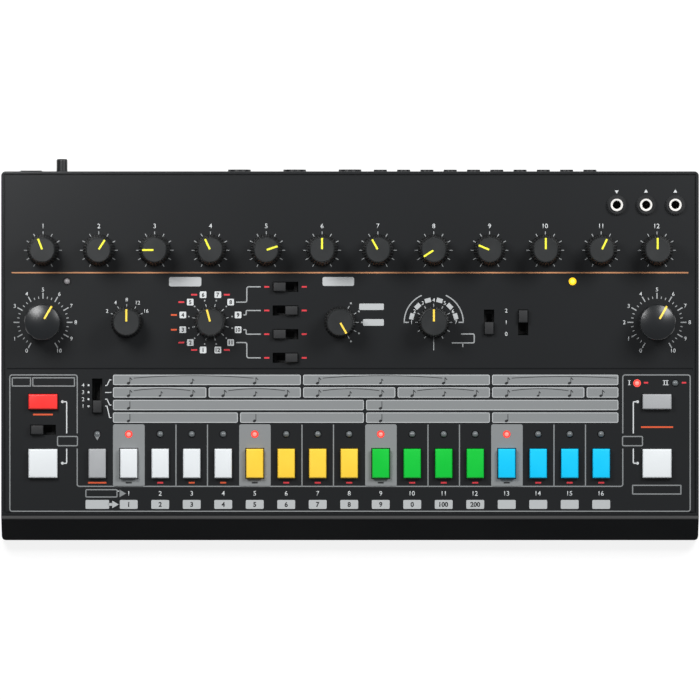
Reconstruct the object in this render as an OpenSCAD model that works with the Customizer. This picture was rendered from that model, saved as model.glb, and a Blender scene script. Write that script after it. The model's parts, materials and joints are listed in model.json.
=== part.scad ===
// Tabletop drum machine: a sloping wedge case with three rows of controls and a row of step keys.
// Frame: +X right, +Y to the rear, +Z up, origin on the table under the middle of the whole part.
// Everything on the sloping panel is drawn flat in the panel's own frame: u right, v up the slope
// and w square to the panel, with w = 0 on its surface. in_panel() then tilts it into place.

/* [Case] */
// Width of the case
case_w = 305; // [300:1:340]
// Length of the case, measured along the panel
case_l = 161.4; // [158:0.2:180]
// Height of the panel's rear edge over the base
rear_h = 41.4; // [40:0.2:50]
// Slope of the panel, in degrees
panel_slope = 7; // [5:0.5:9]
// Thickness of the case walls and of the panel
wall = 2.2; // [1.8:0.1:2.6]
// Height of the bottom shell's side walls
base_h = 6.2; // [5.6:0.2:8]
// How far the bottom shell draws in towards its underside
base_draft = 1.5; // [0:0.1:2.5]
// Length of the front lip, seen square to the panel
lip_run = 11; // [8:0.5:14]
// Radius of the case's upright corners
corner_r = 2; // [1:0.5:3]
// Radius of the edges round the panel
edge_r = 0.5; // [0.2:0.1:0.8]
// Radius of the fold from the panel into the front lip
crease_r = 1; // [0.5:0.1:2]
// Width of the rim round the panel
rim_w = 1.2; // [0.9:0.1:1.5]
// Width of the groove between the rim and the panel
groove_w = 0.9; // [0.5:0.1:1.2]
// Depth of that groove
groove_d = 0.9; // [0.4:0.1:1.2]
// Width of the shallow line across the panel behind the key section
fold_w = 1.2; // [0.6:0.1:2]
// Depth of that line
fold_d = 0.35; // [0.2:0.05:0.6]

/* [Row places] */
// From the panel's rear edge to the row of panel jacks
jack_row = 14.7; // [14:0.1:16]
// From the rear edge to the row of level knobs
level_row = 34.5; // [33:0.5:36]
// From the rear edge to the tempo and power lamps
lamp_row = 48.1; // [47:0.1:49]
// From the rear edge to the row of selectors and large knobs
selector_row = 66; // [65:0.5:67]
// From the rear edge to the shallow line
fold_row = 86.5; // [86:0.5:88]
// From the front crease to the row of keys
key_row = 22.7; // [21:0.1:23]
// From the front crease to the lamps over the keys
key_lamp_row = 35.5; // [35:0.1:37]
// From the front crease to the variation slide
variation_row = 37.4; // [37:0.1:38]
// From the front crease to the two wide buttons
button_row = 49.7; // [49:0.1:51]
// From the front crease to the scale slide
scale_row = 52.2; // [51.5:0.1:52.5]
// From the front crease to the bank lamps
bank_lamp_row = 57.8; // [57.5:0.1:59]

/* [Control places] */
// From the case's sides to the end columns: outer level knobs, large knobs and end buttons
end_column = 18.3; // [17.8:0.1:19]
// From the case's left side to the function key, the first key in the row
first_key_inset = 42; // [40:0.1:43]
// From the case's right side to the last step key
last_key_inset = 42.68; // [40:0.01:43]
// Places of the four selectors, counted in level knobs from the left one
selector_places = [1.5, 3, 5.32, 7];
// Place of the column of four voice slides, counted the same way
voice_slide_place = 4.344; // [4.2:0.01:4.4]
// Pitch of those four slides
voice_slide_pitch = 10.35; // [10:0.05:11]
// Places of the two fade slides
fade_slide_places = [7.992, 8.602];
// Place of the power lamp
power_lamp_place = 9.488; // [9.4:0.01:9.6]
// From the tempo knob to the tempo lamp
tempo_lamp_shift = 10.5; // [10:0.1:12]
// From the case's right side to the right one of the three panel jacks
jack_inset = 10.3; // [10.1:0.1:11]
// Pitch of the panel jacks
jack_pitch = 12.8; // [12:0.1:14]
// From the case's right side to the left bank lamp
bank_lamp_inset = 27; // [26:0.1:28]

/* [Knobs] */
// Radius of a small knob at its foot
knob_foot_r = 6.95; // [6.5:0.05:7.5]
// Radius of the level knobs' flat tops
level_top_r = 5.3; // [4.8:0.1:5.6]
// Radius of the selector knobs' flat tops
selector_top_r = 5.7; // [5.2:0.1:6]
// Height of the level knobs over the panel
level_knob_h = 16; // [13:0.5:18]
// Height of the selector knobs over the panel
selector_knob_h = 14; // [12:0.5:16]
// Number of flutes round a small knob
flutes = 30; // [20:1:32]
// Radius of one flute
flute_r = 0.45; // [0.3:0.05:0.5]
// Radius of the large knobs
big_knob_r = 8; // [7.5:0.1:9]
// Height of the large knobs over the panel
big_knob_h = 17; // [14:0.5:18]
// Radius of the large knobs' domed tops
dome_r = 20; // [16:1:40]
// Number of hollows round a large knob
big_hollows = 9; // [6:1:12]
// Depth of one hollow
hollow_d = 0.4; // [0.2:0.05:0.6]
// Gap between a knob and the panel
knob_gap = 0.8; // [0.5:0.1:1.2]
// Radius of the turning shafts
shaft_r = 3; // [2.5:0.1:3.2]
// Running clearance round a shaft
shaft_gap = 0.05; // [0.03:0.01:0.08]
// Width of a pointer line
pointer_w = 0.9; // [0.6:0.1:1.2]
// Depth of the pointer's inlay
pointer_d = 0.35; // [0.2:0.05:0.5]

/* [Keys and buttons] */
// Width of a key
key_w = 7.5; // [7:0.1:7.8]
// Length of a key
key_l = 12.8; // [12:0.1:13.2]
// Height of the keys and buttons over the panel
key_h = 2.6; // [2.2:0.1:3.4]
// Travel of the keys and buttons
key_travel = 0.8; // [0.4:0.1:1]
// Bevel round the top of a key
key_bevel = 0.45; // [0.2:0.05:0.6]
// Gap between a key and its hole
key_gap = 0.25; // [0.2:0.05:0.4]
// Side of the two square buttons and width of the two wide ones
button_w = 12.6; // [12:0.1:13.2]
// Length of the two wide buttons
button_l = 6.6; // [6.2:0.1:7.4]

/* [Slide switches] */
// Width of a slide's slot
slot_w = 4.5; // [4.2:0.1:5]
// Length of the two-way and three-way slots
slot_l = 11.2; // [10.6:0.1:12]
// Length of the four-way slot
scale_slot_l = 15.3; // [14:0.1:16]
// Length of a slide's cap
slide_cap_l = 5.5; // [5:0.1:6]
// Height of the caps over the panel
slide_cap_h = 2.4; // [1.5:0.1:3]
// Gap between a cap and its slot
slide_gap = 0.25; // [0.15:0.05:0.4]

/* [Jacks and sockets] */
// Radius of the bore of a 3.5 mm jack
mini_bore_r = 1.8; // [1.75:0.05:1.9]
// Radius of a panel jack's bright bush
bush_r = 2.7; // [2.5:0.1:2.9]
// Height of the bush over the panel
bush_h = 2.6; // [2:0.1:3.5]
// Radius of a panel jack's nut
nut_r = 4.4; // [4.1:0.1:5]
// Height of the nut
nut_h = 1.8; // [1.2:0.1:2.4]
// Pitch of the ten rear jacks
rear_jack_pitch = 10.2; // [9.6:0.1:10.4]
// Middle of the first rear jack
rear_jack_u = 13.3; // [13:0.1:15]
// Radius of the rear jacks' collars
rear_collar_r = 2.9; // [2.6:0.1:3.2]
// How far those collars stand out
rear_collar_h = 0.9; // [0.5:0.1:1.5]
// Middle of the 6.35 mm jack
main_jack_u = 0; // [-1:0.1:0.5]
// Radius of its bore
main_bore_r = 3.2; // [3.2:0.05:3.3]
// Radius of its collar and of the cores of the five-pin sockets
core_r = 5; // [4.8:0.1:5.2]
// How far that collar and those cores stand out
core_h = 1; // [0.5:0.1:1.5]
// Pitch of the five-pin sockets and the 6.35 mm jack
big_socket_pitch = 24.25; // [22:0.05:26]
// Radius of a five-pin socket's face
din_r = 7.7; // [7.4:0.1:8]
// From the case's left side to the power inlet
inlet_inset = 12.8; // [12.6:0.1:14]
// Width of the power inlet's face
inlet_w = 9.2; // [8.8:0.1:9.4]
// From the power inlet to the square data socket
data_socket_shift = 31.7; // [29:0.1:38]
// From the power inlet to the power button
power_shift = 13.5; // [12.5:0.1:14.5]
// Radius of the power button
power_r = 2.4; // [2:0.1:2.6]
// How far the power button stands out
power_h = 5.6; // [4.5:0.1:7]
// Travel of the power button
power_travel = 3; // [1.5:0.1:3.5]

/* [Inside] */
// From the panel's surface down to the top of the main board
board_drop = 11.4; // [11:0.1:12]
// Thickness of the main board
board_t = 1.6; // [1:0.1:2]
// Radius of a lamp
lamp_r = 1.4; // [1.2:0.1:1.5]
// How far a lamp's dome stands over the panel
lamp_h = 0.7; // [0.4:0.1:1.2]
// Radius of the posts that the screws go into
post_r = 3.2; // [2.8:0.1:3.4]
// Radius of the screws' shanks
screw_r = 1.3; // [1.1:0.1:1.5]
// Radius of the screws' heads
head_r = 2.6; // [2.3:0.1:2.8]
// Height of the screws' heads
head_h = 1.6; // [1.2:0.1:1.8]
// Radius of a rubber foot
foot_r = 6; // [5:0.5:8]
// Height of the base over the table
foot_h = 2; // [1.5:0.1:3]

/* [Hidden] */
$fn = 48;

LEVELS = 12;
SELECTORS = 4;
STEPS = 16;
VOICE_SLIDES = 4;
JACKS = 3;
REAR_JACKS = 10;

// Colours as the photograph shows them.
case_grey = "#34373a";
knob_black = "#2b2c2e";
board_green = "#1f4a33";
switch_black = "#17181a";
bright_metal = "#c9ccd0";
key_white = "#e6eaec";
key_yellow = "#ffd446";
key_green = "#03c83c";
key_cyan = "#03cbfc";
button_red = "#fc3b38";
button_grey = "#acacae";
slide_grey = "#34363a";

// The case in the panel's frame.
rear_v = case_l / 2;
front_v = -case_l / 2;
crease_v = front_v + lip_run;
panel_z = foot_h + rear_h - rear_v * sin(panel_slope);
parting_z = foot_h + base_h;
// The lip runs from the crease down to the parting line at the case's front edge.
lip_drop = (panel_z + front_v * sin(panel_slope) - parting_z) / cos(panel_slope);
lip_angle = atan(lip_drop / lip_run);
level_v = rear_v - level_row;
selector_v = rear_v - selector_row;
lamp_v = rear_v - lamp_row;
jack_v = rear_v - jack_row;
key_v = crease_v + key_row;
key_lamp_v = crease_v + key_lamp_row;
variation_v = crease_v + variation_row;
button_v = crease_v + button_row;
scale_v = crease_v + scale_row;
bank_lamp_v = crease_v + bank_lamp_row;
level_pitch = (case_w - 2 * end_column) / (LEVELS - 1);
level_us = [for (k = [0:LEVELS - 1]) (k - (LEVELS - 1) / 2) * level_pitch];
big_u = level_us[LEVELS - 1];
function row_u(place) = place * level_pitch - big_u;
selector_us = [for (place = selector_places) row_u(place)];
voice_slide_u = row_u(voice_slide_place);
fade_slide_us = [for (place = fade_slide_places) row_u(place)];
power_lamp_u = row_u(power_lamp_place);
tempo_lamp_u = tempo_lamp_shift - big_u;
bank_lamp_u = case_w / 2 - bank_lamp_inset;
jack_last_u = case_w / 2 - jack_inset;
key_first_u = first_key_inset - case_w / 2;
key_pitch = (case_w - first_key_inset - last_key_inset) / STEPS;
inlet_u = inlet_inset - case_w / 2;
data_socket_u = inlet_u + data_socket_shift;
power_u = inlet_u + power_shift;
key_us = [for (k = [0:STEPS]) key_first_u + k * key_pitch];
jack_us = [for (k = [1 - JACKS:0]) jack_last_u + k * jack_pitch];
rear_jack_us = [for (k = [0:REAR_JACKS - 1]) rear_jack_u + k * rear_jack_pitch];
din_us = [main_jack_u - 2 * big_socket_pitch, main_jack_u - big_socket_pitch];

// Heights in the panel's frame, from the board up and down.
board_w = -board_drop;
board_back_w = board_w - board_t;
joint_gap = 0.2;
mouth_gap = 0.2;
mouth_depth = 0.5;
hole_gap = 0.4;
lamp_gap = 0.25;
seat_gap = 0.1;

// Pots and rotary switches: a square can on the board with a bush that holds the shaft.
can_h = 6.6;
pot_side = 10;
rotary_side = 12.4;
bush_rise = 2;
bearing_r = shaft_r + shaft_gap;
shaft_end_w = board_w + 1.2;
shaft_hole_r = shaft_r + hole_gap;

// Push switches under the keys and buttons.
tact_side = 6;
tact_h = 3.5;
plunger_r = 1.7;
plunger_gap = 0.05;
plunger_rise = 0.9;
plunger_l = 1.8;
flange_t = 0.8;
flange_lip = 0.8;
flange_w = -wall - joint_gap;

// Slide switches.
slide_can_h = 5;
slide_can_w = 7;
slide_can_wall = 1.4;
slide_stem = 1.8;
slide_cap_w = slot_w - 2 * slide_gap;
slide_travel = slot_l - 2 * slide_gap - slide_cap_l;
scale_travel = scale_slot_l - 2 * slide_gap - slide_cap_l;
voice_slide_vs = [for (k = [0:VOICE_SLIDES - 1]) selector_v + ((VOICE_SLIDES - 1) / 2 - k) * voice_slide_pitch];

// Rear sockets hang under the board, against the rear wall.
mini_can_w = 7;
mini_can_h = 6;
mini_can_l = 13;
jack_can_side = 9;
main_can_w = 14;
main_can_h = 12.4;
main_can_l = 18;
din_can_w = 18;
din_can_l = 13;
data_can_w = 12;
data_can_h = 10.8;
data_can_l = 16;
inlet_can_h = 10.8;
inlet_can_l = 13.6;
inlet_h = 0.5;
power_can_w = 8.4;
power_can_l = 16;
mini_axis_w = board_back_w - mini_can_h / 2;
main_axis_w = board_back_w - main_can_h / 2;
din_axis_w = board_back_w - din_r - 0.4;
data_axis_w = board_back_w - data_can_h / 2;
inlet_axis_w = board_back_w - inlet_can_h / 2;
power_axis_w = board_back_w - power_can_w / 2;

// Screws: posts under the panel take the board, longer posts take the bottom shell.
board_post_us = [-4 * level_pitch, 0, 4 * level_pitch];
board_post_v = rear_v - 24;
board_front_us = [-3.7 * level_pitch, level_pitch / 4, 3.7 * level_pitch];
board_front_v = selector_v - 15.5;
case_post_u = case_w / 2 - wall - post_r - 0.2;
case_post_row = 26;
case_posts = [
    [-case_post_u, rear_v - case_post_row], [case_post_u, rear_v - case_post_row],
    [-case_post_u, crease_v + 4.5], [-case_w / 6, crease_v + 4.5],
    [case_w / 6, crease_v + 4.5], [case_post_u, crease_v + 4.5]];
boss_r = head_r + 2;
boss_top = foot_h + 5.2;
head_seat = foot_h + 3.2;
case_screw_l = 8.5;
board_screw_l = 7.5;
foot_inset_x = 18;
foot_inset_y = 16;
foot_sink = 0.5;
board_edge_gap = 1;
board_lip_gap = 10;
board_front_v_edge = crease_v + board_lip_gap;

// The part's origin lies under the middle of its box, from the case's front edge to the power button's tip.
front_y = front_v * cos(panel_slope) + lip_drop * sin(panel_slope);
power_round = 0.7;
tip_y = (rear_v + power_h - power_round) * cos(panel_slope)
    - (power_axis_w - power_r + power_round) * sin(panel_slope) + power_round;
origin_y = -(front_y + tip_y) / 2;

function panel_y(v, w) = origin_y + v * cos(panel_slope) - w * sin(panel_slope);
function panel_height(v, w) = panel_z + v * sin(panel_slope) + w * cos(panel_slope);

module in_panel() {
    translate([0, origin_y, panel_z]) rotate([panel_slope, 0, 0]) children();
}

// Lays a profile drawn in (v, w) across the case, centred on u = 0.
module across(width) {
    rotate([90, 0, 90]) linear_extrude(width, center = true) children();
}

// Turns a shape so that its +Z points out of the rear wall.
module rearward(u, w, v = rear_v) {
    translate([u, v, w]) rotate([-90, 0, 0]) children();
}

// A box whose top and bottom are at the heights top and bottom, centred on the current place.
module block(size_u, size_v, bottom, top) {
    translate([-size_u / 2, -size_v / 2, bottom]) cube([size_u, size_v, top - bottom]);
}

// A square drawn out to a point per corner, with its two upper corners cut back by bevel.
module bevelled(width, bottom, top, bevel) {
    polygon([[-width / 2, bottom], [width / 2, bottom], [width / 2, top - bevel],
        [width / 2 - bevel, top], [bevel - width / 2, top], [-width / 2, top - bevel]]);
}

// A rectangle with round corners.
module round_rect(width, length, radius) {
    square([width - 2 * radius, length], center = true);
    square([width, length - 2 * radius], center = true);
    for (x = [-1, 1], y = [-1, 1])
        translate([x * (width / 2 - radius), y * (length / 2 - radius)]) circle(radius);
}

// ---------------------------------------------------------------- the case

// The wedge above the parting line, drawn inwards by inset and carried on below by extra.
module wedge_profile(inset, extra = 0) {
    corner = [crease_v + inset * tan(lip_angle / 2), -inset];
    lip_len = (panel_height(corner[0], corner[1]) - parting_z + extra) / sin(lip_angle + panel_slope);
    rear_foot = -(panel_height(rear_v - inset, 0) - parting_z + extra) / cos(panel_slope);
    polygon([
        [rear_v - inset, -inset], corner,
        [corner[0] - lip_len * cos(lip_angle), corner[1] - lip_len * sin(lip_angle)],
        [rear_v - inset, rear_foot]]);
}

// The same outline with its rear edge and its crease rounded.
module wedge_outline() {
    tangent = crease_r * tan(lip_angle / 2);
    difference() {
        wedge_profile(0);
        polygon([[rear_v - edge_r, 0.01], [rear_v + 0.01, 0.01], [rear_v + 0.01, -edge_r]]);
        polygon([[crease_v + tangent, 0], [crease_v, 0.01],
            [crease_v - tangent * cos(lip_angle) - 0.01, -tangent * sin(lip_angle)]]);
    }
    translate([rear_v - edge_r, -edge_r]) circle(edge_r);
    translate([crease_v + tangent, -crease_r]) circle(crease_r);
}

// The case seen from the front, with its two upper edges rounded.
module front_outline(depth) {
    translate([0, -depth / 2 - edge_r / 2]) square([case_w, depth - edge_r], center = true);
    translate([0, -edge_r]) square([case_w - 2 * edge_r, 2 * edge_r], center = true);
    for (side = [-1, 1]) translate([side * (case_w / 2 - edge_r), -edge_r]) circle(edge_r);
}

module case_body() {
    depth = 60;
    intersection() {
        in_panel() across(case_w + 2) wedge_outline();
        in_panel() translate([0, rear_v + 1, 0]) rotate([90, 0, 0])
            linear_extrude(case_l + 2) front_outline(depth);
        in_panel() translate([0, 0, -depth]) linear_extrude(depth + 1)
            round_rect(case_w, case_l, corner_r);
    }
}

// A groove that leaves a thin rim round the panel and runs along the crease in front.
module rim_groove() {
    front_rim = crease_v + crease_r * tan(lip_angle / 2) + rim_w / 2;
    front_groove = groove_w / 2;
    outer_w = case_w - 2 * rim_w;
    inner_w = outer_w - 2 * groove_w;
    difference() {
        translate([-outer_w / 2, front_rim, -groove_d])
            cube([outer_w, rear_v - rim_w - front_rim, groove_d + 1]);
        translate([-inner_w / 2, front_rim + front_groove, -groove_d - 1])
            cube([inner_w, rear_v - rim_w - groove_w - front_rim - front_groove, groove_d + 3]);
    }
}

module fold_line() {
    width = case_w - 2 * (rim_w + groove_w) - 1;
    translate([0, rear_v - fold_row, 0]) across(width)
        polygon([[-fold_w / 2, 0.5], [-fold_w / 2, -fold_d], [0, -fold_d], [fold_w / 2, 0], [fold_w / 2, 0.5]]);
}

module key_hole(width, length) {
    block(width + 2 * key_gap, length + 2 * key_gap, -wall - 1, 1);
}

module panel_holes() {
    deep = wall + 2;
    for (u = level_us) translate([u, level_v, -wall - 1]) cylinder(r = shaft_hole_r, h = deep);
    for (u = concat(selector_us, [-big_u, big_u]))
        translate([u, selector_v, -wall - 1]) cylinder(r = shaft_hole_r, h = deep);
    for (u = jack_us) translate([u, jack_v, -wall - 1]) cylinder(r = bush_r + joint_gap, h = deep);
    lamp_places() translate([0, 0, -wall - 1]) cylinder(r = lamp_r + lamp_gap, h = deep);
    for (u = key_us) translate([u, key_v, 0]) key_hole(key_w, key_l);
    for (u = [-big_u, big_u]) {
        translate([u, button_v, 0]) key_hole(button_w, button_l);
        translate([u, key_v, 0]) key_hole(button_w, button_w);
    }
    slide_places() block($slot, slot_w, -wall - 1, 1);
}

module rear_holes() {
    deep = wall + 2;
    for (u = rear_jack_us) rearward(u, mini_axis_w, rear_v - wall - 1)
        cylinder(r = rear_collar_r + seat_gap, h = deep);
    rearward(main_jack_u, main_axis_w, rear_v - wall - 1) cylinder(r = core_r + seat_gap, h = deep);
    for (u = din_us) rearward(u, din_axis_w, rear_v - wall - 1) cylinder(r = din_r + seat_gap, h = deep);
    rearward(power_u, power_axis_w, rear_v - wall - 1) cylinder(r = power_r + joint_gap, h = deep);
    translate([data_socket_u, rear_v, 0])
        block(data_can_w + 2 * seat_gap, 2 * wall + 2, board_back_w - data_can_h - seat_gap, board_back_w);
    translate([inlet_u, rear_v, 0])
        block(inlet_w + 2 * seat_gap, 2 * wall + 2, board_back_w - inlet_can_h - seat_gap, board_back_w);
}

// Posts that stand under the panel: short ones for the board, long upright ones for the base.
module board_posts() {
    for (place = board_post_places())
        translate([place[0], place[1], board_w]) cylinder(r = post_r, h = board_drop - wall / 2);
}

module case_post_solids() {
    for (place = case_posts) {
        top_z = panel_height(place[1], -wall) + wall / 2;
        translate([place[0], panel_y(place[1], -wall), boss_top]) cylinder(r = post_r, h = top_z - boss_top);
    }
}

function board_post_places() = concat(
    [for (u = board_post_us) [u, board_post_v]], [for (u = board_front_us) [u, board_front_v]]);

module top_shell() {
    pilot_r = screw_r + 0.05;
    pilot_l = 9;
    color(case_grey) difference() {
        union() {
            difference() {
                case_body();
                in_panel() across(case_w - 2 * wall) wedge_profile(wall, 1);
                in_panel() {
                    rim_groove();
                    fold_line();
                    panel_holes();
                    rear_holes();
                }
            }
            in_panel() board_posts();
            case_post_solids();
        }
        in_panel() for (place = board_post_places())
            translate([place[0], place[1], board_w - 1]) cylinder(r = pilot_r, h = board_drop - wall);
        for (place = case_posts)
            translate([place[0], panel_y(place[1], -wall), boss_top - 1]) cylinder(r = pilot_r, h = pilot_l);
    }
}

// The tray's profile in (y, z), drawn in by inset, from the height floor_z up to the height top_z.
module tray_profile(inset, floor_z, top_z) {
    front = origin_y + front_y + inset;
    rear = panel_y(rear_v, -(panel_height(rear_v, 0) - parting_z) / cos(panel_slope)) - inset;
    polygon([[front, top_z], [front, parting_z], [front + base_draft, floor_z],
        [rear - base_draft, floor_z], [rear, parting_z], [rear, top_z]]);
}

module bottom_shell() {
    front = origin_y + front_y;
    rear = panel_y(rear_v, -(panel_height(rear_v, 0) - parting_z) / cos(panel_slope));
    tongue_h = 1.5;
    tongue_t = 1;
    color(case_grey) difference() {
        union() {
            difference() {
                intersection() {
                    across(case_w) tray_profile(0, foot_h, parting_z);
                    translate([0, (front + rear) / 2, foot_h - 1]) linear_extrude(base_h + 2)
                        round_rect(case_w, rear - front, corner_r);
                }
                across(case_w - 2 * wall) tray_profile(wall, foot_h + wall, parting_z + 1);
            }
            tray_tongue(tongue_h, tongue_t);
            for (place = case_posts)
                translate([place[0], panel_y(place[1], -wall), foot_h + wall / 2])
                    cylinder(r = boss_r, h = boss_top - foot_h - wall / 2);
        }
        for (place = case_posts) translate([place[0], panel_y(place[1], -wall), 0]) {
            cylinder(r = head_r + joint_gap, h = head_seat);
            cylinder(r = screw_r + joint_gap, h = boss_top + 1);
        }
        foot_places() cylinder(r = foot_r + seat_gap, h = foot_h + foot_sink);
    }
}

// A tongue that stands up inside the top shell's side and rear walls and keeps the two in line.
module tray_tongue(height, thick) {
    outer_w = case_w - 2 * wall - 2 * seat_gap;
    rear = panel_y(rear_v - wall, -(panel_height(rear_v - wall, 0) - parting_z) / cos(panel_slope));
    lap = wall / 2;
    length = rear - origin_y - front_y - lip_run;
    for (side = [-1, 1])
        translate([side * (outer_w - thick) / 2, rear - length / 2 - 1, 0])
            block(thick, length, parting_z - lap, parting_z + height);
    for (side = [-1, 1])
        translate([side * (case_w - 2 * wall) / 2, rear - length / 2 - 1, 0])
            block(2 * thick, length, parting_z - 2 * lap, parting_z - lap / 2);
}

module foot_places() {
    rear = panel_y(rear_v, -(panel_height(rear_v, 0) - parting_z) / cos(panel_slope));
    for (x = [foot_inset_x - case_w / 2, case_w / 2 - foot_inset_x],
         y = [origin_y + front_y + foot_inset_y, rear - foot_inset_y])
        translate([x, y, 0]) children();
}

module rubber_feet() {
    color(switch_black) foot_places() rotate_extrude()
        polygon([[0, 0], [foot_r - 0.6, 0], [foot_r, 0.6], [foot_r, foot_h + foot_sink], [0, foot_h + foot_sink]]);
}

// ---------------------------------------------------------------- screws and board

// A pan-head screw, head down, with a cross in the head. Its seat is at z = 0.
module screw(shank) {
    slot = 0.5;
    difference() {
        union() {
            cylinder(r = screw_r, h = shank);
            translate([0, 0, -head_h]) cylinder(r1 = head_r - 0.5, r2 = head_r, h = 0.6);
            translate([0, 0, 0.6 - head_h]) cylinder(r = head_r, h = head_h - 0.6);
        }
        for (turn = [0, 90]) rotate([0, 0, turn]) block(3, slot, -head_h - 1, -head_h + 0.9);
    }
}

module screws() {
    color(bright_metal) {
        for (place = case_posts) translate([place[0], panel_y(place[1], -wall), head_seat]) screw(case_screw_l);
        in_panel() for (place = board_post_places()) translate([place[0], place[1], board_back_w]) screw(board_screw_l);
    }
}

module main_board() {
    notch = post_r + 3;
    width = case_w - 2 * wall - 2 * board_edge_gap;
    rear_edge = rear_v - wall - board_edge_gap;
    color(board_green) in_panel() difference() {
        translate([-width / 2, board_front_v_edge, board_back_w])
            cube([width, rear_edge - board_front_v_edge, board_t]);
        for (side = [-1, 1]) translate([side * width / 2, rear_v - case_post_row - 1.5, 0])
            block(2 * (post_r + 3), 2 * notch, board_back_w - 1, board_w + 1);
        for (place = board_post_places())
            translate([place[0], place[1], board_back_w - 1]) cylinder(r = screw_r + joint_gap, h = board_t + 2);
    }
}

// ---------------------------------------------------------------- rotary controls

// A can on the board with a bush, bored for the shaft. The large ones are rotary switches.
module rotary_can(side) {
    rise = board_w + can_h;
    difference() {
        union() {
            block(side, side, board_w, rise);
            translate([0, 0, rise]) cylinder(r = shaft_r + 1.2, h = bush_rise);
        }
        translate([0, 0, shaft_end_w - 0.3]) cylinder(r = bearing_r, h = can_h + bush_rise);
    }
}

module rotary_controls() {
    color(bright_metal) in_panel() {
        for (u = level_us) translate([u, level_v, 0]) rotary_can(pot_side);
        for (u = [-big_u, big_u]) translate([u, selector_v, 0]) rotary_can(pot_side);
        for (u = selector_us) translate([u, selector_v, 0]) rotary_can(rotary_side);
    }
}

// The turning shaft, with a flat over its upper half.
module shaft(top) {
    flat_l = 6;
    translate([0, 0, shaft_end_w]) difference() {
        cylinder(r = shaft_r, h = top - shaft_end_w);
        translate([-shaft_r, shaft_r - 1.5, top - shaft_end_w - flat_l]) cube([2 * shaft_r, shaft_r, flat_l + 1]);
    }
}

// The D-shaped hole in a knob that the shaft fills.
module shaft_socket(top) {
    flat_l = 6;
    difference() {
        translate([0, 0, knob_gap - 1]) cylinder(r = shaft_r + shaft_gap, h = top + shaft_gap - knob_gap + 1);
        translate([-shaft_r - 1, shaft_r - 1.5 + shaft_gap, top - flat_l + shaft_gap])
            cube([2 * shaft_r + 2, shaft_r, flat_l + 1]);
    }
}

// A fluted knob: a cone with a flat top, round flutes down its side and an inlaid pointer.
module fluted_knob(top_r, height) {
    skirt_h = 1.2;
    band_h = 1.5;
    side_h = height - knob_gap - skirt_h;
    lean = atan((knob_foot_r - top_r) / side_h);
    shaft_top = height - 4;
    pointer_l = top_r - 0.3;
    difference() {
        rotate_extrude() polygon([[0, knob_gap], [knob_foot_r, knob_gap], [knob_foot_r, knob_gap + skirt_h],
            [top_r, height - 0.4], [top_r - 0.4, height], [0, height]]);
        for (k = [0:flutes - 1]) rotate([0, 0, k * 360 / flutes])
            translate([knob_foot_r + flute_r * 0.25, 0, knob_gap + skirt_h]) rotate([0, -lean, 0])
                translate([0, 0, -0.3]) cylinder(r = flute_r, h = side_h - band_h);
        difference() {
            translate([0, 0, knob_gap - 1]) cylinder(r = knob_foot_r - 1.2, h = 4);
            translate([0, 0, knob_gap - 1]) cylinder(r = shaft_r + 1.3, h = 5);
        }
        shaft_socket(shaft_top);
        translate([0, pointer_l / 2 + 0.3, 0]) block(pointer_w, pointer_l, height - pointer_d, height + 1);
    }
    shaft(shaft_top);
}

// A large knob: a low dome on a round body with shallow hollows for the fingers.
module big_knob() {
    hollow_r = big_knob_r;
    shoulder = big_knob_h - dome_r + sqrt(dome_r * dome_r - big_knob_r * big_knob_r);
    shaft_top = big_knob_h - 6;
    difference() {
        intersection() {
            translate([0, 0, knob_gap]) linear_extrude(big_knob_h) difference() {
                circle(big_knob_r);
                for (k = [0:big_hollows - 1]) rotate((k + 0.5) * 360 / big_hollows)
                    translate([big_knob_r + hollow_r - hollow_d, 0]) circle(hollow_r);
            }
            rotate_extrude() difference() {
                union() {
                    square([big_knob_r, shoulder - 1]);
                    translate([0, big_knob_h - dome_r]) intersection() {
                        circle(dome_r, $fn = 180);
                        square([big_knob_r - 0.6, dome_r]);
                    }
                    translate([big_knob_r - 1.6, shoulder - 1.1]) circle(1.6);
                    square([big_knob_r - 1.6, shoulder]);
                }
                translate([-2 * dome_r, 0]) square([2 * dome_r, 2 * dome_r]);
            }
        }
        difference() {
            translate([0, 0, knob_gap - 1]) cylinder(r = big_knob_r - 2, h = 6);
            translate([0, 0, knob_gap - 1]) cylinder(r = shaft_r + 1.3, h = 7);
        }
        shaft_socket(shaft_top);
        intersection() {
            translate([0, 1.5 + big_knob_r / 2, 0]) block(pointer_w, big_knob_r, 2, big_knob_h + 1);
            translate([0, 0, big_knob_h - dome_r]) difference() {
                sphere(dome_r + 1, $fn = 180);
                sphere(dome_r - pointer_d, $fn = 180);
            }
        }
    }
    shaft(shaft_top);
}

// Where each knob points at rest, in degrees clockwise from straight up.
level_turns = [-21, 33, -90, -25, 72, 0, -29, -123, -67, 0, 26, 0];
selector_turns = [0, -15, 150, 0];
big_turn = 30;

module level_knob(k) {
    color(knob_black) in_panel() translate([level_us[k - 1], level_v, 0])
        rotate([0, 0, -level_turns[k - 1]]) fluted_knob(level_top_r, level_knob_h);
}

module selector_knob(k) {
    color(knob_black) in_panel() translate([selector_us[k - 1], selector_v, 0])
        rotate([0, 0, -selector_turns[k - 1]]) fluted_knob(selector_top_r, selector_knob_h);
}

module large_knob(u) {
    color(knob_black) in_panel() translate([u, selector_v, 0]) rotate([0, 0, -big_turn]) big_knob();
}

// ---------------------------------------------------------------- keys and buttons

// A push switch's can on the board, bored for its plunger.
module tact_can() {
    difference() {
        block(tact_side, tact_side, board_w, board_w + tact_h);
        translate([0, 0, board_w + 0.6]) cylinder(r = plunger_r + plunger_gap, h = tact_h);
    }
}

module push_switches() {
    color(switch_black) in_panel() {
        for (u = concat(key_us, [-big_u, big_u])) translate([u, key_v, 0]) tact_can();
        for (u = [-big_u, big_u]) translate([u, button_v, 0]) tact_can();
    }
}

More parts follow.
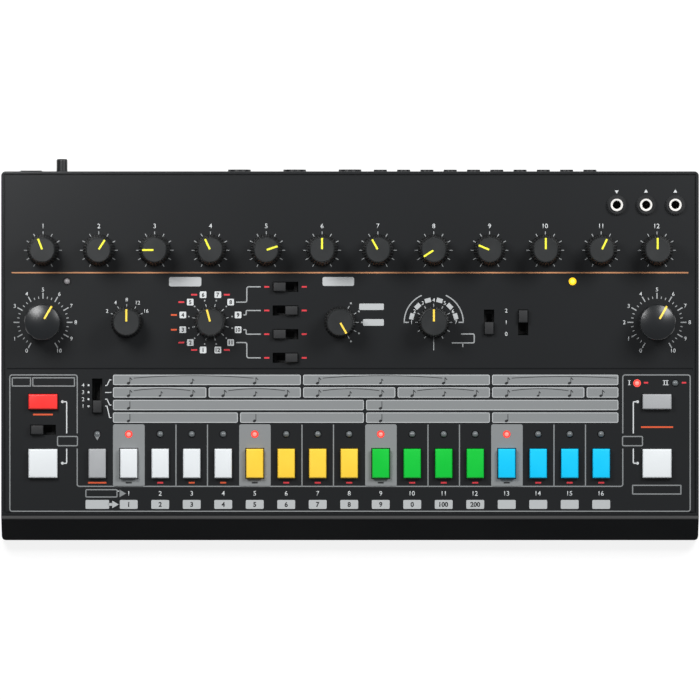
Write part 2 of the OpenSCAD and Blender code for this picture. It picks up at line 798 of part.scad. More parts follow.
// A key with a bevelled top, a flange that keeps it under the panel, a stem, and the switch's
// plunger that the stem rests on.
module key_cap(width, length) {
    plunger_top = board_w + tact_h + plunger_rise;
    intersection() {
        across(2 * button_w) bevelled(length, flange_w - flange_t / 2, key_h, key_bevel);
        rotate([90, 0, 0]) linear_extrude(2 * button_w, center = true)
            bevelled(width, flange_w - flange_t / 2, key_h, key_bevel);
    }
    block(width + 2 * flange_lip, length + 2 * flange_lip, flange_w - flange_t, flange_w);
    translate([0, 0, plunger_top + plunger_gap])
        cylinder(r = plunger_r + 0.4, h = flange_w - flange_t / 2 - plunger_top - plunger_gap);
    translate([0, 0, plunger_top - plunger_l]) cylinder(r = plunger_r, h = plunger_l);
}

module key_at(u, v, width, length, tint) {
    color(tint) in_panel() translate([u, v, 0]) key_cap(width, length);
}

function step_tint(k) = [key_white, key_yellow, key_green, key_cyan][floor((k - 1) / 4)];

// ---------------------------------------------------------------- slide switches

// Each place turns its slot's length along u and gives the slot's length as $slot.
module slide_places() {
    for (v = voice_slide_vs) translate([voice_slide_u, v, 0]) let ($slot = slot_l) children();
    for (u = fade_slide_us) translate([u, selector_v, 0]) rotate([0, 0, 90]) let ($slot = slot_l) children();
    translate([key_first_u, scale_v, 0]) rotate([0, 0, 90]) let ($slot = scale_slot_l) children();
    translate([-big_u, variation_v, 0]) let ($slot = slot_l) children();
}

module slide_can(slot_length) {
    run = slot_length - slide_cap_l + slide_stem;
    difference() {
        block(run + 2 * slide_can_wall, slide_can_w, board_w, board_w + slide_can_h);
        block(run, slide_stem + 2 * slide_gap, board_w + 1, board_w + slide_can_h + 1);
    }
}

module slide_switches() {
    color(switch_black) in_panel() slide_places() slide_can($slot);
}

// A slide's cap on its stem, shifted along its slot by shift.
module slide_cap(shift) {
    translate([shift, 0, 0]) {
        intersection() {
            rotate([90, 0, 0]) linear_extrude(2 * slot_w, center = true)
                bevelled(slide_cap_l, -wall, slide_cap_h, 0.3);
            across(2 * slide_cap_l) bevelled(slide_cap_w, -wall, slide_cap_h, 0.3);
        }
        block(slide_stem, slide_stem, board_w + 1 + seat_gap, -wall / 2);
    }
}

// Which end of its slot each slide lies at: -1 left or front, 1 right or rear.
module voice_slide(k) {
    end = [-1, 1, -1, 1][k - 1];
    color(slide_grey) in_panel() translate([voice_slide_u, voice_slide_vs[k - 1], 0])
        slide_cap(end * slide_travel / 2);
}

module upright_slide(u, v, shift) {
    color(slide_grey) in_panel() translate([u, v, 0]) rotate([0, 0, 90]) slide_cap(shift);
}

module variation_slide() {
    color(slide_grey) in_panel() translate([-big_u, variation_v, 0]) slide_cap(-slide_travel / 2);
}

// ---------------------------------------------------------------- lamps

module lamp_places() {
    for (u = key_us) translate([u, key_lamp_v, 0]) children();
    for (u = [tempo_lamp_u, power_lamp_u]) translate([u, lamp_v, 0]) children();
    for (u = [bank_lamp_u, jack_last_u]) translate([u, bank_lamp_v, 0]) children();
}

// A round lamp with a domed end and a flange under the panel, on two legs.
module lamp() {
    flange_h = 1;
    leg = 0.5;
    leg_pitch = 1.27;
    translate([0, 0, flange_w - flange_h]) cylinder(r = lamp_r + 2 * lamp_gap, h = flange_h);
    translate([0, 0, flange_w - flange_h]) cylinder(r = lamp_r, h = lamp_h - lamp_r - flange_w + flange_h);
    translate([0, 0, lamp_h - lamp_r]) sphere(lamp_r);
    for (side = [-1, 1]) translate([side * leg_pitch, 0, 0]) block(leg, leg, board_w, flange_w - flange_h / 2);
}

module indicator_lamps() {
    color("#8f9496") in_panel() lamp_places() lamp();
}

// ---------------------------------------------------------------- jacks and sockets

// A jack's bore from the depth end up to its collar at top, a little wider at the mouth.
module jack_bore(radius, end, top) {
    translate([0, 0, end]) cylinder(r = radius, h = top + 1 - end);
    translate([0, 0, top - mouth_depth]) cylinder(r = radius + mouth_gap, h = mouth_depth + 1);
}

// An upright 3.5 mm jack: a can on the board and a bright bush through the panel.
module panel_jack() {
    can_top = -wall - joint_gap;
    difference() {
        union() {
            block(jack_can_side, jack_can_side, board_w, can_top);
            translate([0, 0, can_top - 1]) cylinder(r = bush_r, h = bush_h - can_top + 1);
        }
        jack_bore(mini_bore_r, board_w + 1, bush_h);
    }
}

module panel_jacks() {
    color(bright_metal) in_panel() for (u = jack_us) translate([u, jack_v, 0]) panel_jack();
}

// A round nut with two steps and a notched edge.
module jack_nuts() {
    notches = 24;
    step_r = nut_r - 0.55;
    color(switch_black) in_panel() for (u = jack_us) translate([u, jack_v, 0]) difference() {
        union() {
            cylinder(r = nut_r, h = nut_h * 0.55);
            cylinder(r = step_r, h = nut_h);
        }
        translate([0, 0, -1]) cylinder(r = bush_r + 0.05, h = nut_h + 2);
        for (k = [0:notches - 1]) rotate([0, 0, k * 360 / notches])
            translate([nut_r + 0.12, 0, -1]) cylinder(r = 0.3, h = nut_h + 2, $fn = 16);
    }
}

// A rear 3.5 mm jack: a can under the board with a collar through the rear wall.
module rear_jack() {
    difference() {
        union() {
            translate([0, 0, -wall - joint_gap - mini_can_l])
                linear_extrude(mini_can_l) square([mini_can_w, mini_can_h], center = true);
            translate([0, 0, -wall - joint_gap - 1])
                cylinder(r = rear_collar_r, h = wall + joint_gap + 1 + rear_collar_h);
        }
        jack_bore(mini_bore_r, -wall - mini_can_l + 1, rear_collar_h);
    }
}

module main_jack() {
    difference() {
        union() {
            translate([0, 0, -wall - joint_gap - main_can_l])
                linear_extrude(main_can_l) square([main_can_w, main_can_h], center = true);
            translate([0, 0, -wall - joint_gap - 1]) cylinder(r = core_r, h = wall + joint_gap + 1 + core_h);
        }
        jack_bore(main_bore_r, -wall - main_can_l + 1, core_h);
    }
}

// A five-pin socket: a housing whose round face stands in the wall, with a well for the plug's
// shell, and in the well a core with five contact holes spread over half a circle.
module din_socket() {
    well_depth = 8;
    well_r = din_r - 0.9;
    pin_circle_r = 3.4;
    pin_r = 0.75;
    can_h = 2 * din_r + 0.8;
    difference() {
        union() {
            translate([0, 0, -wall - joint_gap - din_can_l])
                linear_extrude(din_can_l) square([din_can_w, can_h], center = true);
            translate([0, 0, -wall - joint_gap - 1]) cylinder(r = din_r, h = wall + joint_gap + 1);
        }
        translate([0, 0, -well_depth]) cylinder(r = well_r, h = well_depth + 1);
    }
    translate([0, 0, seat_gap - well_depth]) difference() {
        cylinder(r = core_r, h = well_depth - seat_gap + core_h);
        for (turn = [0:45:180]) rotate([0, 0, turn])
            translate([pin_circle_r, 0, -1]) cylinder(r = pin_r, h = well_depth + core_h + 2, $fn = 12);
    }
}

// A square data socket with two cut corners and a tongue inside.
module data_socket() {
    mouth_w = 8.5;
    mouth_h = 7.8;
    corner = 1.6;
    depth = 9;
    difference() {
        translate([0, 0, -data_can_l]) linear_extrude(data_can_l) square([data_can_w, data_can_h], center = true);
        translate([0, 0, -depth]) linear_extrude(depth + 1) polygon([
            [-mouth_w / 2, mouth_h / 2], [mouth_w / 2, mouth_h / 2], [mouth_w / 2, corner - mouth_h / 2],
            [mouth_w / 2 - corner, -mouth_h / 2], [corner - mouth_w / 2, -mouth_h / 2],
            [-mouth_w / 2, corner - mouth_h / 2]]);
    }
    translate([0, 0, -depth - 0.5]) linear_extrude(depth - 0.5) square([5.6, 3.2], center = true);
}

// A round power inlet in a square face, with its centre pin.
module power_inlet() {
    well_r = 3.1;
    pin_r = 1;
    depth = 9;
    difference() {
        translate([0, 0, -inlet_can_l]) linear_extrude(inlet_can_l + inlet_h)
            square([inlet_w, inlet_can_h], center = true);
        translate([0, 0, -depth]) cylinder(r = well_r, h = depth + inlet_h + 1);
    }
    translate([0, 0, -depth - 0.5]) cylinder(r = pin_r, h = depth - 0.5);
}

// The latching switch behind the power button, bored for the button's stem.
module power_switch() {
    translate([0, 0, -wall - joint_gap - power_can_l]) difference() {
        linear_extrude(power_can_l) square(power_can_w, center = true);
        translate([0, 0, 2]) cylinder(r = power_r + 0.05, h = power_can_l);
    }
}

module rear_sockets() {
    color(switch_black) in_panel() {
        for (u = rear_jack_us) rearward(u, mini_axis_w) rear_jack();
        rearward(main_jack_u, main_axis_w) main_jack();
        for (u = din_us) rearward(u, din_axis_w) din_socket();
        rearward(data_socket_u, data_axis_w) data_socket();
        rearward(inlet_u, inlet_axis_w) power_inlet();
        rearward(power_u, power_axis_w) power_switch();
    }
}

module power_button() {
    reach = 9;
    color(knob_black) in_panel() rearward(power_u, power_axis_w) rotate_extrude() {
        square([power_r - power_round, power_h]);
        translate([0, -wall - reach]) square([power_r, power_h - power_round + wall + reach]);
        translate([power_r - power_round, power_h - power_round]) circle(power_round);
    }
}

top_shell();
bottom_shell();
rubber_feet();
screws();
main_board();
rotary_controls();
push_switches();
slide_switches();
indicator_lamps();
panel_jacks();
jack_nuts();
rear_sockets();
for (k = [1:LEVELS]) level_knob(k);
for (k = [1:SELECTORS]) selector_knob(k);
large_knob(-big_u);  // tempo_knob
large_knob(big_u);  // volume_knob
for (k = [1:VOICE_SLIDES]) voice_slide(k);
upright_slide(fade_slide_us[0], selector_v, -slide_travel / 2);  // fade_in_slide
upright_slide(fade_slide_us[1], selector_v, slide_travel / 2);  // fade_out_slide
upright_slide(key_first_u, scale_v, -scale_travel / 2);  // scale_slide
variation_slide();
key_at(-big_u, button_v, button_w, button_l, button_red);  // clear_button
key_at(-big_u, key_v, button_w, button_w, key_white);  // start_button
key_at(big_u, button_v, button_w, button_l, button_grey);  // pattern_button
key_at(big_u, key_v, button_w, button_w, key_white);  // tap_button
key_at(key_us[0], key_v, key_w, key_l, button_grey);  // function_key
for (k = [1:STEPS])
    key_at(key_us[k], key_v, key_w, key_l, step_tint(k));
power_button();
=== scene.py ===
"""The drum machine's looks: prints, inlays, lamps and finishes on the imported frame."""

import json
import math

import bpy
from mathutils import Matrix, Vector

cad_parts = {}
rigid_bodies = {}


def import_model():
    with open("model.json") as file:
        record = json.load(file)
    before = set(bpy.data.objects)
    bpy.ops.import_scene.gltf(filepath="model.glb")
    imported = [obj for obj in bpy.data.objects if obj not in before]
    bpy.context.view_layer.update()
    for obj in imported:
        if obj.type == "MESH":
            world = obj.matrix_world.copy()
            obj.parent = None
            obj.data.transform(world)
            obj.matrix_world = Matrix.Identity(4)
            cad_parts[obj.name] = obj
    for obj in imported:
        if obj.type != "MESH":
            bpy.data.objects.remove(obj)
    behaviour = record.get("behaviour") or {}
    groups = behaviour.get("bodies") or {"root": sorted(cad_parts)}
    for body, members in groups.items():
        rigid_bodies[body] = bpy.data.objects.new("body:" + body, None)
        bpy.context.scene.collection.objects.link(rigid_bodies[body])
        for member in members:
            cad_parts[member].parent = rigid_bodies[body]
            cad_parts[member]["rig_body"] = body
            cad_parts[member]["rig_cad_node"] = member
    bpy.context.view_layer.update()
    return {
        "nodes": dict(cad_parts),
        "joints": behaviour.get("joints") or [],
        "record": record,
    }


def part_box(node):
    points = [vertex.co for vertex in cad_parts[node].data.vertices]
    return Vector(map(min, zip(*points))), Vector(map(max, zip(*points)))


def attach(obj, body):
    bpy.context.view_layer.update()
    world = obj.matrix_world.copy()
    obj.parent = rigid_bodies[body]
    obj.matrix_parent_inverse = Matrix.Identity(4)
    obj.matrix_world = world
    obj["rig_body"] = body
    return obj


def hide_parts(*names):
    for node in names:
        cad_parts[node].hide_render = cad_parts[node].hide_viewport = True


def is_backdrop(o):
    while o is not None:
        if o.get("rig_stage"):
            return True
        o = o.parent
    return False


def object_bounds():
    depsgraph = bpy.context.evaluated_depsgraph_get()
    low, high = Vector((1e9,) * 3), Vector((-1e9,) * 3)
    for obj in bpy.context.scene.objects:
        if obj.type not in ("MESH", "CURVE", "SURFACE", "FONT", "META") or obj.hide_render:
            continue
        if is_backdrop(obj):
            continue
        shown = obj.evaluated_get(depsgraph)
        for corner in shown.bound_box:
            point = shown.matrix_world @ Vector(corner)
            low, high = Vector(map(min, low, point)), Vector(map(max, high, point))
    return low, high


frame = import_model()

MM = 0.001
nodes = frame["nodes"]
joints = {joint["child"]: joint for joint in frame["joints"]}

# ---------------------------------------------------------------- the panel's own frame
# u runs to the right, v up the slope and w out of the panel, in millimetres. The two large
# knobs turn about points on the panel, and their row lies SELECTOR_V up from its middle.
SELECTOR_V = 14.7
panel_normal = Vector(joints["tempo_knob"]["axis"])
panel_slope = math.atan2(-panel_normal.y, panel_normal.z)
up_slope = Vector((0, math.cos(panel_slope), math.sin(panel_slope)))
left_dial = Vector(joints["tempo_knob"]["pos_m"])
right_dial = Vector(joints["volume_knob"]["pos_m"])
panel_middle = (left_dial + right_dial) / 2 - SELECTOR_V * MM * up_slope
panel_turn = Matrix.Rotation(panel_slope, 4, "X")
panel_place = Matrix.Translation(panel_middle) @ panel_turn


def panel_uv(point):
    """A point in the part's frame as (u, v, w) in millimetres."""
    return (panel_place.inverted() @ Vector(point)) / MM


def knob_uv(name):
    """Where a knob, slide or key's joint meets the panel."""
    return panel_uv(joints[name]["pos_m"])


def middle_uv(node):
    """The middle of a node's box, on the panel."""
    low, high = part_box(node)
    return panel_uv((low + high) / 2)


LEVEL_KNOBS = [f"level_knob_{k}" for k in range(1, 13)]
SELECTORS = [f"selector_knob_{k}" for k in range(1, 5)]
LARGE_KNOBS = ["tempo_knob", "volume_knob"]
STEP_KEYS = [f"step_key_{k}" for k in range(1, 17)]
SLIDES = [f"voice_slide_{k}" for k in range(1, 5)]
SLIDES += ["fade_in_slide", "fade_out_slide", "scale_slide", "variation_slide"]

level_u = [knob_uv(name).x for name in LEVEL_KNOBS]
level_v = knob_uv("level_knob_1").y
selector_u = [knob_uv(name).x for name in SELECTORS]
big_u = right_dial.x / MM
key_u = [middle_uv(name).x for name in STEP_KEYS]
key_pitch = (key_u[-1] - key_u[0]) / (len(key_u) - 1)
function_u = middle_uv("function_key").x
KEY_V = -47.0
KEY_LAMP_V = -34.2

# ---------------------------------------------------------------- modelling helpers


def deselect():
    bpy.ops.object.select_all(action="DESELECT")


def pick(*objects):
    """Selects these objects alone, the first of them active."""
    deselect()
    for item in objects:
        item.select_set(True)
    bpy.context.view_layer.objects.active = objects[0]


def edit(piece, select="SELECT"):
    pick(piece)
    bpy.ops.object.mode_set(mode="EDIT")
    bpy.ops.mesh.select_all(action=select)


def leave_edit():
    bpy.ops.object.mode_set(mode="OBJECT")


def select_vertices(piece, wanted):
    """Opens a piece in edit mode with those vertices selected that wanted(co) picks."""
    edit(piece, "DESELECT")
    bpy.ops.mesh.select_mode(type="VERT")
    leave_edit()
    for vertex in piece.data.vertices:
        vertex.select = wanted(vertex.co)
    bpy.ops.object.mode_set(mode="EDIT")


def settle(piece):
    """Moves a piece's place into its mesh."""
    pick(piece)
    bpy.ops.object.transform_apply(location=True, rotation=True, scale=True)


def join(name, parts):
    """Joins parts into one piece that sits at the origin."""
    pick(*parts)
    bpy.ops.object.transform_apply(location=True, rotation=True, scale=True)
    if len(parts) > 1:
        bpy.ops.object.join()
    piece = bpy.context.view_layer.objects.active
    piece.name = name
    piece.data.name = name
    return piece


def modify(piece, kind, **settings):
    """Adds a modifier and applies it."""
    pick(piece)
    modifier = piece.modifiers.new(kind.lower(), kind)
    for key, value in settings.items():
        setattr(modifier, key, value)
    bpy.ops.object.modifier_apply(modifier=modifier.name)


def smooth(piece, angle=35):
    pick(piece)
    bpy.ops.object.shade_smooth_by_angle(angle=math.radians(angle))


def finish_piece(piece, material, body="case", stands_for=()):
    """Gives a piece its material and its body."""
    piece.data.materials.clear()
    piece.data.materials.append(material)
    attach(piece, body)
    if stands_for:
        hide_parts(*stands_for)
    return piece


# ---------------------------------------------------------------- materials


PLASTIC_IOR = 1.5


def colour(code):
    """An sRGB hex value as linear RGBA."""
    parts = [int(code[k:k + 2], 16) / 255 for k in (1, 3, 5)]
    linear = [c / 12.92 if c <= 0.04045 else ((c + 0.055) / 1.055) ** 2.4 for c in parts]
    return (*linear, 1.0)


def add_node(material, kind, inputs=None, links=(), **settings):
    """Adds a node with its settings, its input values and its links from (socket, input name)."""
    tree = material.node_tree
    node = tree.nodes.new(kind)
    for key, value in settings.items():
        setattr(node, key, value)
    for key, value in (inputs or {}).items():
        node.inputs[key].default_value = value
    for socket, key in links:
        tree.links.new(socket, node.inputs[key])
    return node


def plain_material(name, code, roughness, metallic=0.0):
    """A material with its shader's own values, and the shader."""
    material = bpy.data.materials.new(name)
    material.use_nodes = True
    shader = material.node_tree.nodes["Principled BSDF"]
    shader.inputs["Base Color"].default_value = colour(code)
    shader.inputs["Roughness"].default_value = roughness
    shader.inputs["Metallic"].default_value = metallic
    if not metallic:
        shader.inputs["IOR"].default_value = PLASTIC_IOR
    return material, shader


def grain(material, shader, size_mm, height_mm):
    """Fine moulded or sprayed texture as bump, and the coordinates that place it."""
    place = add_node(material, "ShaderNodeTexCoord")
    noise = add_node(
        material, "ShaderNodeTexNoise",
        {"Scale": 1 / (size_mm * MM), "Detail": 2.0, "Roughness": 0.55},
        [(place.outputs["Object"], "Vector")])
    bump = add_node(
        material, "ShaderNodeBump", {"Strength": 1.0, "Distance": height_mm * MM},
        [(noise.outputs["Fac"], "Height")])
    material.node_tree.links.new(bump.outputs["Normal"], shader.inputs["Normal"])
    return place


def mottle(material, shader, place, size_mm, light, dark, rough_low, rough_high):
    """Slow, faint variation of tone and roughness over a surface."""
    noise = add_node(
        material, "ShaderNodeTexNoise", {"Scale": 1 / (size_mm * MM), "Detail": 3.0},
        [(place.outputs["Object"], "Vector")])
    tone = add_node(material, "ShaderNodeValToRGB", links=[(noise.outputs["Fac"], "Fac")])
    tone.color_ramp.elements[0].position = 0.3
    tone.color_ramp.elements[0].color = colour(dark)
    tone.color_ramp.elements[1].position = 0.7
    tone.color_ramp.elements[1].color = colour(light)
    rough = add_node(
        material, "ShaderNodeMapRange",
        {"From Min": 0.3, "From Max": 0.7, "To Min": rough_low, "To Max": rough_high},
        [(noise.outputs["Fac"], "Value")])
    links = material.node_tree.links
    links.new(tone.outputs["Color"], shader.inputs["Base Color"])
    links.new(rough.outputs["Result"], shader.inputs["Roughness"])


def moulded(name, light, dark, rough_low, rough_high, grain_mm, height_mm, size_mm=25):
    """A moulded or sprayed plastic: fine grain as bump, and faint unevenness of tone and gloss."""
    material, shader = plain_material(name, light, rough_low)
    place = grain(material, shader, grain_mm, height_mm)
    mottle(material, shader, place, size_mm, light, dark, rough_low, rough_high)
    return material


def height_mask(material, place, low_mm, high_mm):
    """0 to 1 between two heights over the panel, measured square to it."""
    height = add_node(
        material, "ShaderNodeVectorMath", {1: tuple(panel_normal)},
        [(place.outputs["Object"], 0)], operation="DOT_PRODUCT")
    level = panel_middle.dot(panel_normal)
    return add_node(
        material, "ShaderNodeMapRange",
        {"From Min": level + low_mm * MM, "From Max": level + high_mm * MM},
        [(height.outputs["Value"], "Value")])


def lacquered_panel():
    """The top shell: matt black ABS, with satin lacquer over the printed panel alone."""
    material = moulded("lacquered_abs_shell", "#141618", "#111315", 0.6, 0.7, 0.5, 0.004, 60)
    shader = material.node_tree.nodes["Principled BSDF"]
    shader.inputs["Specular IOR Level"].default_value = 0.04
    shader.inputs["Coat Roughness"].default_value = 0.3
    shader.inputs["Coat IOR"].default_value = PLASTIC_IOR
    place = add_node(material, "ShaderNodeTexCoord")
    lacquer = height_mask(material, place, -2.6, -1.6)
    material.node_tree.links.new(lacquer.outputs["Result"], shader.inputs["Coat Weight"])
    return material


def knob_plastic():
    """Small knobs' soft-touch ABS: the flat top keeps its colour, and painted shade darkens
    everything below it, the flutes, to three tenths.
    """
    material = moulded("soft_touch_abs", "#222425", "#1f2122", 0.38, 0.44, 0.3, 0.003, 8)
    shader = material.node_tree.nodes["Principled BSDF"]
    place = add_node(material, "ShaderNodeTexCoord")
    # Painted shade: below the flat top the base colour is scaled down to 0.3, so the flutes look
    # shaded.
    flute_shade_mask = height_mask(material, place, 11.6, 12.4)
    flute_shade_mask.inputs["To Min"].default_value = 0.3
    even = shader.inputs["Base Color"].links[0].from_socket
    tone = add_node(
        material, "ShaderNodeVectorMath", links=[(even, 0), (flute_shade_mask.outputs["Result"], "Scale")],
        operation="SCALE")
    material.node_tree.links.new(tone.outputs["Vector"], shader.inputs["Base Color"])
    return material


# The shell's ABS is nearly black, and soft light lies on the lacquer of its panel.
panel_finish = lacquered_panel()
# Moulded ABS of the base, a little rougher than the sprayed shell.
base_finish = moulded("moulded_abs_base", "#131416", "#101113", 0.6, 0.7, 0.6, 0.01)
# Natural rubber of the feet: dull, with a coarse skin.
rubber_finish = moulded("moulded_rubber", "#161616", "#101010", 0.75, 0.85, 0.8, 0.02)
# Small knobs of soft-touch ABS, with even dark grey tops and painted shade darkening the flutes
# below them.
knob_finish = knob_plastic()
# The large knobs are glossier, with a clear highlight on the dome's shoulder.
large_knob_finish = moulded("satin_abs_dome", "#1e2022", "#1c1e20", 0.27, 0.32, 0.4, 0.002, 12)
# Slide caps: moulded nylon, a little duller than the knobs.
slide_finish = moulded("moulded_nylon_cap", "#1a1b1d", "#17181a", 0.5, 0.6, 0.25, 0.004, 6)
# Switch bodies deep in the panel's holes: black nylon.
switch_finish = moulded("black_nylon", "#0e0f10", "#0b0c0d", 0.5, 0.6, 0.4, 0.006, 10)
# Rear sockets: black PBT, smooth from a polished tool.
socket_finish = moulded("black_pbt", "#141517", "#111214", 0.34, 0.42, 0.5, 0.004, 10)
# Nuts of the panel jacks: black nylon with a turned look on top.
nut_finish = moulded("black_nylon_nut", "#17191b", "#131416", 0.35, 0.45, 0.25, 0.004, 5)


def key_plastic(name, light, dark):
    """A key's gloss ABS: clear even colour with a soft sheen."""
    return moulded(name, light, dark, 0.3, 0.36, 0.5, 0.002, 9)


white_keys = key_plastic("white_key_abs", "#e4e8ea", "#e1e5e7")
yellow_keys = key_plastic("yellow_key_abs", "#ffd443", "#fdd03e")
green_keys = key_plastic("green_key_abs", "#02c63a", "#02c237")
cyan_keys = key_plastic("cyan_key_abs", "#02cafb", "#02c6f7")
red_keys = key_plastic("red_key_abs", "#fb3936", "#f63633")
grey_keys = key_plastic("grey_key_abs", "#a8aaac", "#a4a6a8")


def bare_metal(name, code, low, high, streak_mm):
    """Plated or plain metal with fine turning marks in its gloss, and its shader and place."""
    material, shader = plain_material(name, code, low, metallic=1.0)
    place = add_node(material, "ShaderNodeTexCoord")
    noise = add_node(
        material, "ShaderNodeTexNoise", {"Scale": 1 / (streak_mm * MM), "Detail": 4.0},
        [(place.outputs["Object"], "Vector")])
    rough = add_node(
        material, "ShaderNodeMapRange", {"To Min": low, "To Max": high},
        [(noise.outputs["Fac"], "Value")])
    bump = add_node(
        material, "ShaderNodeBump", {"Strength": 0.3, "Distance": 0.002 * MM},
        [(noise.outputs["Fac"], "Height")])
    material.node_tree.links.new(rough.outputs["Result"], shader.inputs["Roughness"])
    material.node_tree.links.new(bump.outputs["Normal"], shader.inputs["Normal"])
    return material, shader, place


NICKEL = "#f0eeea"


def jack_metal():
    """The panel jacks: nickel plate on the bush's rim, and near-black below it, partly painted
    shade down the metal bush's bore and partly the jack's own black nylon body.
    """
    material, shader, place = bare_metal("nickel_plated_bush", NICKEL, 0.44, 0.54, 0.4)
    rim_plate_and_shade_mask = height_mask(material, place, 1.0, 1.2)
    tone = add_node(material, "ShaderNodeValToRGB", links=[(rim_plate_and_shade_mask.outputs["Result"], "Fac")])
    # Painted shade: near-black below the rim, so the bush's bore looks dark; lower down it is also
    # the jack's black nylon body.
    tone.color_ramp.elements[0].color = colour("#060607")
    tone.color_ramp.elements[1].color = colour(NICKEL)
    material.node_tree.links.new(tone.outputs["Color"], shader.inputs["Base Color"])
    material.node_tree.links.new(rim_plate_and_shade_mask.outputs["Result"], shader.inputs["Metallic"])
    return material


# Nickel plate on the jacks' bushes: bright and slightly warm, with painted shade blackening the
# bore below the rim.
nickel = jack_metal()
# Pressed steel cans of the pots.
can_steel = bare_metal("pressed_steel", "#b9bbbd", 0.3, 0.45, 0.8)[0]
# Zinc-plated screws.
zinc = bare_metal("zinc_plate", "#9c9ea1", 0.35, 0.5, 0.5)[0]
# Solder-masked glass epoxy of the board.
board_finish = moulded("solder_mask", "#1c5236", "#184a30", 0.3, 0.4, 1.2, 0.01, 15)


def ink(name, code, roughness=0.5):
    """Screen-printed ink: matt, with the faint mesh texture of a printed layer."""
    material, shader = plain_material(name, code, roughness)
    grain(material, shader, 0.35, 0.004)
    return material


white_ink = ink("white_ink", "#cfd2d3")
grey_ink = ink("grey_ink", "#828586")
edge_ink = ink("light_grey_ink", "#b4b7b8")
black_ink = ink("black_ink", "#17191b")
red_ink = ink("red_ink", "#d9333f")
orange_ink = ink("orange_ink", "#d9552a")
copper_ink = ink("copper_ink", "#c98d62", 0.4)
yellow_ink = ink("yellow_ink", "#f2ef3a")
amber_ink = ink("amber_ink", "#fbd84a")
dial_ink = ink("dial_ink", "#9fa2a3")


def lamp_finish(name, edge, core, strength):
    """A lit diffused lamp: its core glows paler than its rim, by the dome's own slope."""
    material, shader = plain_material(name, edge, 0.25)
    geometry = add_node(material, "ShaderNodeNewGeometry")
    facing = add_node(
        material, "ShaderNodeVectorMath", {1: tuple(panel_normal)},
        [(geometry.outputs["Normal"], 0)], operation="DOT_PRODUCT")
    ramp = add_node(material, "ShaderNodeValToRGB", links=[(facing.outputs["Value"], "Fac")])
    ramp.color_ramp.elements[0].position = 0.55
    ramp.color_ramp.elements[0].color = colour(edge)
    ramp.color_ramp.elements[1].position = 0.9
    ramp.color_ramp.elements[1].color = colour(core)
    material.node_tree.links.new(ramp.outputs["Color"], shader.inputs["Emission Color"])
    shader.inputs["Emission Strength"].default_value = strength
    grain(material, shader, 0.3, 0.003)
    return material


red_glow = lamp_finish("lit_red_lamp", "#ff2a22", "#ff8f86", 1.3)
amber_glow = lamp_finish("lit_amber_lamp", "#ffb400", "#fff45a", 1.3)
# Unlit lamps: milky grey epoxy.
lamp_grey = moulded("milky_epoxy", "#6d7274", "#63686a", 0.2, 0.3, 0.4, 0.003, 2)
tempo_lamp_grey = moulded("pale_milky_epoxy", "#9b989a", "#908d8f", 0.2, 0.3, 0.4, 0.003, 2)


# ---------------------------------------------------------------- prints on the panel
# Each mark is a flat shape at w = 0, made from a primitive in millimetres on the panel. The
# marks of one ink are joined, raised by the ink's thickness and laid on the slope together.

INK_T = 0.04
LINE_W = 0.5
TICK_W = 0.34
MARK_H = 0.7              # the coloured marks that stand for a label
DIGIT_SHARE = 0.73        # a digit's height in the built-in face, as a share of its size
marks = {}


def mark(layer, shape):
    marks.setdefault(layer, []).append(shape)
    return shape


def strip(layer, u, v, length, width, turn=0.0):
    """A straight line, length along its turn in degrees."""
    bpy.ops.mesh.primitive_plane_add(
        size=MM, location=(u * MM, v * MM, 0), rotation=(0, 0, math.radians(turn)))
    bpy.context.object.scale = (length, width, 1)
    return mark(layer, bpy.context.object)


def line(layer, start, end, width=LINE_W):
    du, dv = end[0] - start[0], end[1] - start[1]
    return strip(
        layer, (start[0] + end[0]) / 2, (start[1] + end[1]) / 2, math.hypot(du, dv), width,
        math.degrees(math.atan2(dv, du)))


def dot(layer, u, v, radius, vertices=20):
    bpy.ops.mesh.primitive_circle_add(
        vertices=vertices, radius=radius * MM, fill_type="NGON", location=(u * MM, v * MM, 0))
    return mark(layer, bpy.context.object)


def plate(layer, left, right, low, high, radius=0.5):
    """A filled rectangle with round corners."""
    bpy.ops.mesh.primitive_plane_add(
        size=MM, location=((left + right) / 2 * MM, (low + high) / 2 * MM, 0))
    shape = bpy.context.object
    shape.scale = (right - left, high - low, 1)
    settle(shape)
    edit(shape)
    bpy.ops.mesh.bevel(offset=radius * MM, segments=4, affect="VERTICES")
    leave_edit()
    return mark(layer, shape)


def frame_line(layer, left, right, low, high, radius=0.8, width=LINE_W):
    """The outline of such a rectangle."""
    shape = plate(layer, left, right, low, high, radius)
    edit(shape)
    bpy.ops.mesh.inset(thickness=width * MM)
    bpy.ops.mesh.delete(type="FACE")
    leave_edit()
    return shape


def arc(layer, u, v, radius, width, start, end, steps=24):
    """Part of a ring from start to end, in degrees counter-clockwise from the right."""
    first = math.radians(start)
    bpy.ops.mesh.primitive_plane_add(
        size=MM, rotation=(0, 0, first),
        location=((u + radius * math.cos(first)) * MM, (v + radius * math.sin(first)) * MM, 0))
    shape = bpy.context.object
    shape.scale = (width, 0.02, 1)
    settle(shape)
    edit(shape)
    bpy.ops.mesh.delete(type="ONLY_FACE")
    leave_edit()
    onward = Vector((-math.sin(first), math.cos(first), 0))
    middle = sum((corner.co for corner in shape.data.vertices), Vector()) / 4
    select_vertices(shape, lambda co: (co - middle).dot(onward) < 0)
    bpy.ops.mesh.delete(type="VERT")
    bpy.ops.mesh.select_all(action="SELECT")
    bpy.ops.mesh.spin(
        steps=steps, angle=math.radians(end - start), center=(u * MM, v * MM, 0), axis=(0, 0, -1))
    leave_edit()
    if shape.data.polygons[0].normal.z < 0:
        edit(shape)
        bpy.ops.mesh.flip_normals()
        leave_edit()
    return mark(layer, shape)


